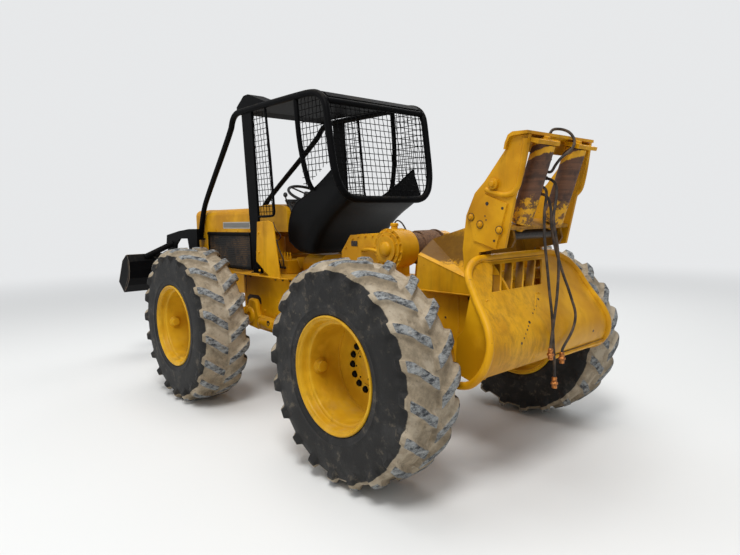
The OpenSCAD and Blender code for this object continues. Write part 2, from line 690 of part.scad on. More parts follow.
module winch_drum() {
    color(steel) place() {
        cross_rod(drum_x, drum_z, 40, -265, 175);
        cross_rod(drum_x, drum_z, 105, -200, 120);
        cross_rod(drum_x, drum_z, 140, -209, -196);
        cross_rod(drum_x, drum_z, 140, 112, 124);
    }
}

// A side view point of the leaning fairlead: forward of the rollers' axes, up along them
function leg_at(x, z) = let (p = lean_at(x, 0, z)) [p[0], p[2]];

// Arch: wedge shaped shrouds on the frame, leaning legs, top plate
arch_leg = [
    [-400, 1195], [-370, 1500], [-400, 1720], [-470, 1862], [-545, 1930],
    leg_at(126, roller_half - 55), leg_at(121, roller_half + 10), leg_at(-1, roller_half + 47),
    leg_at(-14, roller_half - 46), leg_at(-28, 59), leg_at(-22, -72), [-700, 1515],
    [-600, 1500], [-502, 1482], [-502, 1195],
];
// Bolted lower pocket inside each leg, which carries the low roller
pocket = [
    [-502, 1195], [-400, 1195], [-380, 1500], [-420, 1690], [-560, 1690], [-568, 1668],
    [-700, 1621], [-715, 1560], [-690, 1515], [-600, 1500], [-502, 1482],
];
low_roller = [-655, 1590];
// Edge that the legs' outer faces roll into: forward, up
leg_bead = [[-844, 2165], [-828, 2040], [-808, 1935], [-790, 1878], [-752, 1845], [-700, 1838], [-640, 1850], [-560, 1880]];
module arch() {
    color(yellow) place() {
        pair_plate(arch_leg, 350, 372);
        for (s = [-1, 1]) {
            pts = [
                [60, 378, 1195], [-450, 378, 1195], [-450, 150, 1195], [60, 150, 1195],
                [30, 378, 1450], [-430, 378, 1302], [-420, 150, 1690], [95, 150, 1552],
            ];
            faces = [[0, 1, 2, 3], [0, 4, 5, 1], [1, 5, 6, 2], [2, 6, 7, 3], [3, 7, 4, 0], [4, 7, 5], [5, 7, 6]];
            mirror([0, s < 0 ? 1 : 0, 0]) polyhedron(pts, faces);
            difference() {
                side_plate(pocket, s > 0 ? 270 : -292, s > 0 ? 292 : -270);
                cross_rod(low_roller[0], low_roller[1], 20 + fit, -400, 400);
            }
        }
        translate([lean_at(port_x + 20, 0, mid_top)[0], 0, lean_at(port_x + 20, 0, mid_top)[2] + 0.64])
            side_plate([[20, 0], [-84, 2], [-86, 20], [18, 24], [50, 8], [72, -36], [80, -74], [66, -77], [58, -42],
                [38, -6]], -395, 395);
        for (s = [-1, 1]) {
            sweep([for (p = leg_bead) [p[0], s * 374, p[1]]], 13, 8, [0, 1, 0]);
            cross_rod(-622, 1912, 34, s > 0 ? 370 : -392, s > 0 ? 392 : -370);
            side_plate([[-470, 1560], [-640, 1508], [-722, 1785], [-560, 1850], [-505, 1800], [-440, 1690]],
                s > 0 ? 370 : -384, s > 0 ? 384 : -370);
        }
        cross_rod(-500, 1300, 45, -360, 360);
    }
}

// Fairlead frame that holds the three rollers, leaning back with them
module fairlead() {
    high = roller_half + roller_gap;
    low = -roller_half - 2 * roller_gap;
    color(yellow) place() {
        translate([fair_x, 0, fair_z]) rotate([0, -roller_lean, 0]) difference() {
            union() {
                for (s = [-1, 1]) block([-top_back, s > 0 ? roller_y - 75 : -350, high], [45, s > 0 ? 350 : 75 - roller_y, high + 24]);
                block([-34, -350, low - 22], [110, 350, low]);
                block([port_x, -40, low - 2], [port_x + 20, 40, mid_top]);
            }
            for (s = [-1, 1]) translate([0, s * roller_y, low - 40]) cylinder(r = roller_pin + fit, h = 2 * high + 80);
        }
    }
}

module vertical_roller(s) {
    color(steel) place() translate([fair_x, s * roller_y, fair_z]) rotate([0, -roller_lean, 0]) {
        cylinder(r = roller_r, h = 2 * roller_half, center = true);
        cylinder(r = roller_pin, h = 2 * roller_half + 64, center = true);
    }
}
module roller_left() { vertical_roller(1); }
module roller_right() { vertical_roller(-1); }
module roller_low() {
    color(steel) place() {
        cross_rod(low_roller[0], low_roller[1], 32, -262, 262);
        cross_rod(low_roller[0], low_roller[1], 20, -288, 288);
    }
}

// Butt plate: bent plate inside a tube loop, whose ends turn forward under its wings.
// Left half of the loop from the middle of its top: forward, sideways, up
butt_loop = [
    [-528, 0, 1447], [-530, 395, 1446], [-536, 452, 1436], [-552, 512, 1416], [-578, 570, 1386],
    [-600, 606, 1350], [-640, 628, 1300], [-700, 642, 1200], [-775, 660, 1100], [-820, 684, 1030],
    [-846, 710, 950], [-838, 735, 870], [-805, 750, 800], [-755, 754, 748], [-700, 750, 722], [-640, 745, 712],
];
butt_prof = [[-530, 1446], [-600, 1350], [-640, 1300], [-700, 1200], [-775, 1100], [-820, 1030],
    [-846, 950], [-838, 870], [-805, 800], [-790, 775]];
butt_tube = 24;
// Bars on edge in the plate's window: place at the top, place at the foot
butt_bars = [[216, 374], [83, 258], [-49, 132], [-189, 10]];

// The bent sheet of the butt plate, or a deeper layer behind its face
module butt_skin(depth) {
    inner = [for (i = [len(butt_prof) - 1 : -1 : 0]) [butt_prof[i][0] + depth, butt_prof[i][1]]];
    side_plate(concat(butt_prof, inner), -840, 840);
}

module butt_plate() {
    half = [for (i = [1 : 12]) [butt_loop[i][1], butt_loop[i][2]]];
    color(yellow) place() {
        intersection() {
            butt_skin(14);
            translate([-1000, 0, 0]) rotate([90, 0, 90]) linear_extrude(600) difference() {
                polygon(concat(half, [for (i = [len(half) - 1 : -1 : 0]) [-half[i][0], half[i][1]]]));
                polygon([[308, 1402], [-268, 1402], [-105, 1246], [466, 1246]]);
            }
        }
        intersection() {
            butt_skin(62);
            translate([-1000, 0, 0]) rotate([90, 0, 90]) linear_extrude(600) for (b = butt_bars)
                polygon([[b[0] - 7, 1412], [b[0] + 5, 1412], [b[1] + 7, 1236], [b[1] - 5, 1236]]);
        }
        rod([-786, -60, 766], [-786, -738, 766], 16);
        sweep(concat([for (i = [len(butt_loop) - 1 : -1 : 1]) flip(butt_loop[i])],
            [for (i = [1 : len(butt_loop) - 1]) butt_loop[i]]), butt_tube, 10, [0.8, 0, 0.6]);
        for (s = [-1, 1]) {
            side_plate([[-640, 722], [-640, 1160], [-560, 1200], [-545, 1400], [-605, 1330], [-645, 1280],
                [-700, 1188], [-772, 1090], [-814, 1025], [-838, 950], [-830, 872], [-798, 806], [-760, 775]],
                s > 0 ? 270 : -290, s > 0 ? 290 : -270);
            side_plate([[-700, 1195], [-650, 1240], [-600, 1030], [-548, 973], [-540, 821], [-582, 738], [-660, 716],
                [-755, 750], [-800, 802], [-835, 870], [-842, 950], [-816, 1028], [-772, 1095]],
                s > 0 ? 636 : -650, s > 0 ? 650 : -636);
        }
    }
}

// Blade with a curved moldboard, cutting edge and end plates
module blade() {
    face = [[1833, 1325], [1780, 1240], [1772, 1150], [1800, 1060], [1880, 975], [1990, 890]];
    rear = [[1965, 872], [1850, 955], [1765, 1045], [1738, 1150], [1747, 1250], [1802, 1330]];
    color(black) at_front() {
        side_plate(concat(face, rear), -blade_y, blade_y);
        side_plate([[1980, 862], [2002, 876], [2150, 985], [2136, 1000]], -blade_y, blade_y);
        for (s = [-1, 1]) side_plate([[1833, 1325], [1970, 1250], [2140, 985], [1990, 880], [1880, 975],
            [1800, 1060], [1772, 1150], [1780, 1240]], s > 0 ? blade_y - 16 : -blade_y, s > 0 ? blade_y : -blade_y + 16);
        for (y = [-715, -520, 490, 685]) side_plate([[1802, 1330], [1747, 1250], [1738, 1150], [1765, 1045],
            [1850, 955], [1750, 930], [1660, 1000], [1630, 1130], [1670, 1280]], y, y + 30);
    }
}

// Cranked lift arms from the frame hinge, up past the hood's nose and forward to the blade
arm_side = [
    [945, 885], [1055, 885], [1095, 1000], [1190, 1430], [1215, 1515], [1455, 1510], [1560, 1440],
    [1660, 1150], [1738, 1150], [1747, 1250], [1802, 1330], [1850, 1449], [1823, 1551], [1450, 1603],
    [1163, 1627], [950, 1628], [955, 1500], [990, 1100], [935, 960],
];
module blade_arms() {
    color(black) at_front() {
        difference() {
            pair_plate(arm_side, 460, 490);
            cross_rod(arm_x, arm_z, 32 + fit, -600, 600);
        }
        cross_rod(1500, 1558, 38, -462, 462);
        for (s = [-1, 1]) rod([1660, s * 480, 1450], [1775, s * 790, 1296], 34);
    }
}

// Cylinders: barrel eye on the frame, rod eye at the moving piece
lift_a = [500, 415, 1060];
lift_b = [arm_x + 130, 415, arm_z + 470];
steer_a = [-600, 400, 800];
steer_b = [-pivot_back - 125, 220, 800];

module barrel(a, b, r, share, pin_axis, depth) {
    d = unit(b - a);
    color(yellow) at_front() difference() {
        union() {
            difference() {
                rod(a + d * 40, a + d * (norm(b - a) * share), r);
                rod(a + d * depth, a + d * (norm(b - a) * share + 1), r * 0.5 + fit);
            }
            if (pin_axis == "y") cross_rod(a[0], a[2], 45, a[1] - 22, a[1] + 22);
            else translate([a[0], a[1], a[2] - 22]) cylinder(r = 45, h = 44);
        }
        if (pin_axis == "y") cross_rod(a[0], a[2], 20 + fit, a[1] - 60, a[1] + 60);
        else translate([a[0], a[1], a[2] - 60]) cylinder(r = 20 + fit, h = 120);
    }
}

module piston(a, b, r, share, pin_axis, head) {
    d = unit(b - a);
    color(steel) at_front() {
        rod(a + d * (norm(b - a) * share - head), b - d * 27, r * 0.5);
        if (pin_axis == "y") {
            cross_rod(b[0], b[2], 38, b[1] - 22, b[1] + 22);
            cross_rod(b[0], b[2], 18, b[1] - 26, b[1] + 26);
        } else {
            translate([b[0], b[1], b[2] - 22]) cylinder(r = 38, h = 44);
            translate([b[0], b[1], b[2] - 25]) cylinder(r = 18, h = 50);
        }
    }
}
function flip(p) = [p[0], -p[1], p[2]];

module lift_barrel_left() { barrel(lift_a, lift_b, 38, 0.86, "y", 60); }
module lift_barrel_right() { barrel(flip(lift_a), flip(lift_b), 38, 0.86, "y", 60); }
module lift_rod_left() { piston(lift_a, lift_b, 38, 0.86, "y", 520); }
module lift_rod_right() { piston(flip(lift_a), flip(lift_b), 38, 0.86, "y", 520); }
module steer_barrel_left() { barrel(steer_a, steer_b, 36, 0.66, "z", 60); }
module steer_barrel_right() { barrel(flip(steer_a), flip(steer_b), 36, 0.66, "z", 60); }
module steer_rod_left() { piston(steer_a, steer_b, 36, 0.66, "z", 230); }
module steer_rod_right() { piston(flip(steer_a), flip(steer_b), 36, 0.66, "z", 230); }

// Hoses that hang free behind the fairlead, and the fittings at their lower ends
module hose_a() { color(black) place() sweep(hose_a_route, hose_r, 8, [0, 1, 0]); }
module hose_b() { color(black) place() sweep(hose_b_route, hose_r, 8, [0, 1, 0]); }
module hose_c() { color(black) place() sweep(hose_c_route, hose_r, 8, [0, 1, 0]); }
module hose_d() { color(black) place() sweep(hose_d_route, hose_r, 8, [0, 1, 0]); }
module fittings() {
    color([0.7, 0.5, 0.25]) place() {
        for (route = [hose_a_route, hose_b_route, hose_c_route]) {
            p = route[len(route) - 1];
            translate([p[0], p[1], p[2] - 24]) cylinder(r = 13, h = 24);
            translate([p[0], p[1], p[2] - 62]) cylinder(r = 17, h = 39, $fn = 6);
        }
        for (port = [port_a, port_b, port_c, port_d]) {
            translate(lean_at(port_x, port[0], port[1])) rotate([0, -90 - roller_lean, 0]) cylinder(r = 13, h = port_h);
        }
        translate([hose_d_start[0], hose_d_start[1], 2200]) cylinder(r = 13, h = 24);
    }
}

tyre_rear_left();
rim_rear_left();
tyre_rear_right();
rim_rear_right();
tyre_front_left();
rim_front_left();
tyre_front_right();
rim_front_right();
rear_axle();
front_axle();
front_frame();
engine();
hood();
side_screens();
grille();
cowl();
steering_wheel();
platform();
tank();
seat();
seat_shell();
canopy_frame();
roof();
screens();
side_mesh();
rear_frame();
winch_case();
winch_drum();
arch();
fairlead();
roller_left();
roller_right();
roller_low();
butt_plate();
blade();
blade_arms();
lift_barrel_left();
lift_barrel_right();
lift_rod_left();
lift_rod_right();
steer_barrel_left();
steer_barrel_right();
steer_rod_left();
steer_rod_right();
hose_a();
hose_b();
hose_c();
hose_d();
fittings();
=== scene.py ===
import json
import math

import bpy
import numpy as np
from bpy.props import FloatProperty, FloatVectorProperty, IntProperty, PointerProperty
from mathutils import Matrix, Vector


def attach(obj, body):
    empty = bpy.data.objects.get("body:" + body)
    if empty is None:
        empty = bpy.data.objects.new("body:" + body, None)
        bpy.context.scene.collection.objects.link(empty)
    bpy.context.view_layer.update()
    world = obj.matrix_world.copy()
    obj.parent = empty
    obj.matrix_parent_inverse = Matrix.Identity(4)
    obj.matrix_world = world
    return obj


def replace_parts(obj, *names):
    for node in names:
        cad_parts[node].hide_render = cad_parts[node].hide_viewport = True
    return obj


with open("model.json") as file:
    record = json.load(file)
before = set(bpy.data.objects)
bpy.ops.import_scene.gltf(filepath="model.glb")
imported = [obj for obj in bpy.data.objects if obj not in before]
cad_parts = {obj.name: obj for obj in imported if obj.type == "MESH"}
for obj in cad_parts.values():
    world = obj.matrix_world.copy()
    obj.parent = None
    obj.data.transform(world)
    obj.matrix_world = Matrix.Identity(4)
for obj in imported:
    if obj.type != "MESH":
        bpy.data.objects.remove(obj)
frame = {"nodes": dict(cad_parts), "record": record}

bl_info = {
    "name": "Cable skidder",
    "version": (1, 0, 0),
    "blender": (4, 5, 0),
    "location": "View3D > Sidebar > Skidder",
    "description": "Dresses the packed skidder: tyres, screens, hoses, bolts, welds, paint and wear",
    "category": "Object",
}

NODES = frame["nodes"]
TAU = 2 * math.pi
UP, LEFT = np.array([0, 0, 1.0]), np.array([0, 1.0, 0])
# The source's routes start at the rear axle. MID is the machine's middle and FRONT is the front axle.
LEAN = math.radians(18.6)
MID = (4.6 - (0.772 + 0.06 * math.cos(LEAN) + 0.28 * math.sin(LEAN))) / 2
FRONT = 2.45
HALF_TRACK = 1.0
AXLE_Z = 0.735
WHEELS = {"rear_left": (0.0, 1), "rear_right": (0.0, -1), "front_left": (FRONT, 1), "front_right": (FRONT, -1)}


def P(x, y, z):
    """A point of the source, measured from the rear axle, in the row frame: x - MID."""
    return np.array([x - MID, y, z], float)


def F(x, y, z):
    """A point of the front half, measured from the front axle."""
    return P(x + FRONT, y, z)


def lean_at(x, y, z):
    """A point in the leaning fairlead: turned by LEAN about Y and moved to its middle."""
    c, s = math.cos(LEAN), math.sin(LEAN)
    return P(-0.772 + x * c - z * s, y, 1.905 + x * s + z * c)


def on_side(s, y, at=F):
    """Places a side view's (u, v) at depth w outside y, on side s of the machine."""
    return lambda u, v, w: at(u, s * (y + w), v)


def rect(x0, x1, z0, z1):
    """A rectangle's corners in side view."""
    return [(x0, z0), (x1, z0), (x1, z1), (x0, z1)]


def spoke(r, a):
    """A point r from a wheel's or case's axis at the angle a, in side view."""
    return r * np.array([math.cos(a), 0, math.sin(a)])


def mirrored(points):
    """The points in reverse order on the machine's other side."""
    return [(x, -y, z) for x, y, z in points[::-1]]


# Surfaces

class Soup:
    """Vertices and faces of many parts, gathered as arrays and made one mesh."""

    def __init__(self):
        self.verts, self.quads, self.polys, self.marks, self.n = [], [], [], [], 0

    def add(self, verts, quads=None, polys=(), mark=0.0):
        """Adds one part. mark is a number, or one for each vertex, kept as the attribute 'mark'."""
        verts = np.asarray(verts, float).reshape(-1, 3)
        self.verts.append(verts)
        self.marks.append(np.broadcast_to(np.asarray(mark, float), (len(verts),)))
        if quads is not None and len(quads):
            self.quads.append(np.asarray(quads) + self.n)
        self.polys += [np.asarray(p) + self.n for p in polys]
        self.n += len(verts)
        return self

    def make(self, name, material, body, slot, smooth=35.0):
        """One object at the origin with every part in it, riding on a body."""
        mesh = bpy.data.meshes.new(name)
        verts = np.concatenate(self.verts)
        quads = np.concatenate(self.quads) if self.quads else np.zeros((0, 4), int)
        loops = np.concatenate([quads.ravel()] + self.polys) if self.polys else quads.ravel()
        sizes = np.array([4] * len(quads) + [len(p) for p in self.polys], np.int32)
        mesh.vertices.add(len(verts))
        mesh.vertices.foreach_set("co", verts.astype(np.float32).ravel())
        mesh.loops.add(len(loops))
        mesh.loops.foreach_set("vertex_index", loops.astype(np.int32))
        mesh.polygons.add(len(sizes))
        mesh.polygons.foreach_set("loop_start", (np.cumsum(sizes) - sizes).astype(np.int32))
        mesh.update(calc_edges=True)
        mesh.validate()
        mark = mesh.attributes.new("mark", "FLOAT", "POINT")
        mark.data.foreach_set("value", np.concatenate(self.marks).astype(np.float32))
        mesh.materials.append(material)
        obj = bpy.data.objects.new(name, mesh)
        bpy.context.scene.collection.objects.link(obj)
        mesh.shade_smooth()
        mesh.set_sharp_from_angle(angle=math.radians(smooth))
        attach(obj, body)
        return obj


def grid(m, n, wrap_m=False, wrap_n=False, flip=False):
    """Quads of an m by n grid of vertices, numbered i * n + j."""
    i = np.arange(m if wrap_m else m - 1)[:, None]
    j = np.arange(n if wrap_n else n - 1)[None, :]
    i2, j2 = (i + 1) % m, (j + 1) % n
    q = np.stack([i * n + j, i2 * n + j, i2 * n + j2, i * n + j2], -1).reshape(-1, 4)
    return q[:, ::-1] if flip else q


def unit(v):
    """v / |v| along the last axis."""
    v = np.asarray(v, float)
    return v / np.maximum(np.linalg.norm(v, axis=-1, keepdims=True), 1e-12)


def spline(points, per):
    """Catmull-Rom curve through the points: per samples for each stretch."""
    p = np.asarray(points, float)
    p = np.concatenate([2 * p[:1] - p[1:2], p, 2 * p[-1:] - p[-2:-1]])
    t = np.linspace(0, 1, per, endpoint=False)[None, :, None]
    a, b, c, d = (p[k:len(p) - 3 + k, None, :] for k in range(4))
    q = 0.5 * (2 * b + (c - a) * t + (2 * a - 5 * b + 4 * c - d) * t ** 2 + (3 * b - a - 3 * c + d) * t ** 3)
    return np.concatenate([q.reshape(-1, 3), p[-2:-1]])


def rounded(points, times=3):
    """Corners cut off times over, at a quarter and three quarters of each stretch; the ends stay."""
    p = np.asarray(points, float)
    for _ in range(times):
        q = np.stack([0.75 * p[:-1] + 0.25 * p[1:], 0.25 * p[:-1] + 0.75 * p[1:]], 1).reshape(-1, p.shape[1])
        p = np.concatenate([p[:1], q[1:-1], p[-1:]])
    return p


def resample(path, step):
    """The path again, with points a step apart along it."""
    d = np.concatenate([[0], np.cumsum(np.linalg.norm(np.diff(path, axis=0), axis=1))])
    s = np.linspace(0, d[-1], max(2, int(round(d[-1] / step)) + 1))
    return np.stack([np.interp(s, d, path[:, k]) for k in range(3)], -1)


def frames(path, closed=False):
    """Tangent T, and N, B across it, carried along the path without twist."""
    t = unit(np.roll(path, -1, 0) - np.roll(path, 1, 0)) if closed else unit(np.gradient(path, axis=0))
    ref = np.array([0.0, 0, 1]) if abs(t[0, 2]) < 0.9 else np.array([0.0, 1, 0])
    n = np.zeros_like(t)
    last = unit(np.cross(np.cross(t[0], ref), t[0]))
    for k in range(len(t)):
        last = unit(last - t[k] * np.dot(last, t[k]))
        n[k] = last
    return t, n, np.cross(t, n)


def tube(path, radius, sides=10, closed=False, soup=None):
    """P(s, a) = path(s) + radius (N cos a + B sin a), with flat ends. radius may be one for each point."""
    soup = soup or Soup()
    path = np.asarray(path, float)
    _, n, b = frames(path, closed)
    r = np.broadcast_to(np.asarray(radius, float), (len(path),))[:, None, None]
    a = np.arange(sides) * TAU / sides
    v = path[:, None] + r * (n[:, None] * np.cos(a)[None, :, None] + b[:, None] * np.sin(a)[None, :, None])
    m = len(path)
    ends = [] if closed else [np.arange(sides)[::-1], (m - 1) * sides + np.arange(sides)]
    return soup.add(v, grid(m, sides, closed, True, flip=True), ends)


def basis(axis):
    """Two unit vectors across an axis."""
    axis = unit(axis)
    ref = np.array([0, 0, 1.0]) if abs(axis[2]) < 0.9 else np.array([1.0, 0, 0])
    u = unit(np.cross(ref, axis))
    return u, np.cross(axis, u)


def turned(profile, centre, axis, sides, soup, cap=True):
    """P(k, a) = centre + h_k axis + r_k (U cos a + V sin a) for a profile of (r, h) rows."""
    profile = np.asarray(profile, float)
    u, v = basis(axis)
    a = np.arange(sides) * TAU / sides
    spokes = u[None, :] * np.cos(a)[:, None] + v[None, :] * np.sin(a)[:, None]
    p = np.asarray(centre)[None, None] + profile[:, 1, None, None] * unit(axis)[None, None] \
        + profile[:, 0, None, None] * spokes[None]
    m = len(profile)
    caps = []
    if cap and profile[0, 0] > 1e-6:
        caps.append(np.arange(sides)[::-1])
    if cap and profile[-1, 0] > 1e-6:
        caps.append((m - 1) * sides + np.arange(sides))
    return soup.add(p, grid(m, sides, False, True, flip=True), caps)


def ring(soup, centre, axis, radius, r, n=64, sides=8):
    """A tube of radius r bent to a circle about an axis."""
    u, v = basis(np.asarray(axis, float))
    a = np.arange(n)[:, None] * TAU / n
    tube(np.asarray(centre, float) + radius * (u * np.cos(a) + v * np.sin(a)), r, sides, True, soup)


def brick(soup, a, b, bevel=0.003):
    """A box between two corners, its long edges bevelled."""
    a, b = np.minimum(a, b), np.maximum(a, b)
    slab(soup, [(a[0], a[1]), (b[0], a[1]), (b[0], b[1]), (a[0], b[1])], b[2] - a[2],
         lambda x, y, w: (x, y, a[2] + w), bevel)


def bolt(soup, centre, axis, r=0.011, h=0.009):
    """A hexagon head, six sides with a chamfer, on a round washer."""
    base = 0.003
    turned([(r * 1.35, -0.001), (r * 1.35, 0.0025), (r * 1.2, base)], centre, axis, 14, soup)
    turned([(r, base), (r, base + h * 0.8), (r * 0.86, base + h)], centre, axis, 6, soup)


def ball(r, half, n):
    """A knob's profile: r cos t and half sin t between two closed poles."""
    return [(1e-7, -half)] + [(r * math.cos(t), half * math.sin(t)) for t in np.linspace(-1.2, 1.2, n)] + [(1e-7, half)]


def bead(soup, path, r=0.0045, ripple=0.006):
    """A weld: a thin tube whose radius is r (1 + 0.18 sin(2 pi s / ripple))."""
    path = resample(np.asarray(path, float), ripple / 3)
    s = np.arange(len(path)) * ripple / 3
    tube(path, r * (1 + 0.18 * np.sin(TAU * s / ripple)), 6, soup=soup)


def slab(soup, outline, thick, place, bevel=0.0, mark=0.0):
    """A flat plate: its outline's corners at depth 0 and thick, carried by place(u, v, w)."""
    o = np.asarray(outline, float)
    n = len(o)
    area = 0.5 * np.sum(o[:, 0] * np.roll(o[:, 1], -1) - np.roll(o[:, 0], -1) * o[:, 1])
    if area < 0:
        o = o[::-1]
    rings = [(0.0, 0.0), (1.0, 0.0)]
    if bevel:
        rings = [(0.0, bevel), (bevel / thick, 0.0), (1 - bevel / thick, 0.0), (1.0, bevel)]
    d1, d2 = unit(o - np.roll(o, 1, 0)), unit(np.roll(o, -1, 0) - o)
    nrm = unit(np.stack([d1[:, 1] + d2[:, 1], -d1[:, 0] - d2[:, 0]], -1))
    k = np.maximum(0.3, np.sum(nrm * np.stack([d1[:, 1], -d1[:, 0]], -1), -1))[:, None]
    v = np.concatenate([np.concatenate([o - nrm / k * inset, np.full((n, 1), w * thick)], 1) for w, inset in rings])
    p = np.stack([place(*row) for row in v])
    m = len(rings)
    return soup.add(p, grid(m, n, False, True), [np.arange(n)[::-1], (m - 1) * n + np.arange(n)], mark)


# Shader maths

class Val:
    """A shader socket that Python arithmetic works on."""

    def __init__(self, graph, socket):
        self.graph, self.socket = graph, socket

    def _do(self, operation, *args):
        return self.graph.add("ShaderNodeMath", {"operation": operation}, dict(enumerate(args)))

    def __add__(self, o): return self._do("ADD", self, o)
    def __radd__(self, o): return self._do("ADD", o, self)
    def __sub__(self, o): return self._do("SUBTRACT", self, o)
    def __rsub__(self, o): return self._do("SUBTRACT", o, self)
    def __mul__(self, o): return self._do("MULTIPLY", self, o)
    def __rmul__(self, o): return self._do("MULTIPLY", o, self)
    def peak(self, o): return self._do("MAXIMUM", self, o)
    def sine(self): return self._do("SINE", self)
    def absolute(self): return self._do("ABSOLUTE", self)


class Graph:
    """The nodes of one material."""

    def __init__(self, name, colour):
        self.mat = bpy.data.materials.new(name)
        self.mat.use_nodes = True
        self.mat.diffuse_color = (*colour, 1)
        self.tree = self.mat.node_tree
        self.shader = self.tree.nodes["Principled BSDF"]

    def add(self, kind, settings=None, inputs=None, out=0):
        """A node of that kind with its settings, its sockets' values or links, and one output."""
        n = self.tree.nodes.new(kind)
        for k, v in (settings or {}).items():
            setattr(n, k, v)
        for k, v in (inputs or {}).items():
            if isinstance(v, Val):
                self.tree.links.new(v.socket, n.inputs[k])
            else:
                n.inputs[k].default_value = v
        return Val(self, n.outputs[out])

    def where(self, scale=(1, 1, 1), turn=(0, 0, 0)):
        """Object coordinates, turned and scaled."""
        at = self.add("ShaderNodeTexCoord", out="Object")
        return self.add("ShaderNodeMapping", None, {"Vector": at, "Rotation": turn, "Scale": scale})

    def noise(self, scale, detail=4.0, rough=0.55, at=None, lump=0.0):
        """Cloudy noise from 0 to 1, scale lumps to the metre."""
        return self.add("ShaderNodeTexNoise", None, {
            "Vector": at or self.where(), "Scale": scale, "Detail": detail, "Roughness": rough, "Distortion": lump})

    def cells(self, scale):
        """Distance to the nearest of scattered points."""
        return self.add("ShaderNodeTexVoronoi", None, {"Vector": self.where(), "Scale": scale}, "Distance")

    def span(self, v, low, high, to_low=0.0, to_high=1.0):
        """v's stretch from low to high, as to_low to to_high, held at its ends."""
        return self.add("ShaderNodeMapRange", {"interpolation_type": "SMOOTHSTEP"}, {
            "Value": v, "From Min": low, "From Max": high, "To Min": to_low, "To Max": to_high})

    def part(self, vector, axis):
        """One part of a vector: X, Y or Z."""
        return self.add("ShaderNodeSeparateXYZ", None, {0: vector}, axis)

    def mix(self, f, a, b):
        """Colour a where f is 0 and b where it is 1."""
        a, b = (c if isinstance(c, Val) else (*c, 1) for c in (a, b))
        return self.add("ShaderNodeMix", {"data_type": "RGBA"}, {0: f, 6: a, 7: b}, 2)

    def mark(self):
        """The attribute that Soup.add keeps for each vertex."""
        return self.add("ShaderNodeAttribute", {"attribute_name": "mark"}, None, "Fac")

    def facing(self, axis):
        """The surface's own direction along an axis, from -1 to 1."""
        return self.part(self.add("ShaderNodeNewGeometry", out="Normal"), axis)

    def bump(self, height, distance, strength):
        """A normal that follows the height, distance metres high where height is 1."""
        return self.add("ShaderNodeBump", None, {"Height": height, "Distance": distance, "Strength": strength})

    def finish(self, colour, rough, normal=None, metal=None, **fixed):
        """Links or sets the shader's sockets. fixed holds the ones that stay constant."""
        for name, v in (("Base Color", colour), ("Roughness", rough), ("Normal", normal), ("Metallic", metal)):
            if isinstance(v, Val):
                self.tree.links.new(v.socket, self.shader.inputs[name])
            elif v is not None:
                self.shader.inputs[name].default_value = (*v, 1) if name == "Base Color" else v
        for k, v in fixed.items():
            self.shader.inputs[k.replace("_", " ").title().replace("Ior", "IOR")].default_value = v
        return self.mat


def lin(*rgb):
    """sRGB values from 0 to 255 as the linear colour that a shader takes."""
    c = np.array(rgb) / 255.0
    return tuple(float(x) for x in np.where(c <= 0.04045, c / 12.92, ((c + 0.055) / 1.055) ** 2.4))


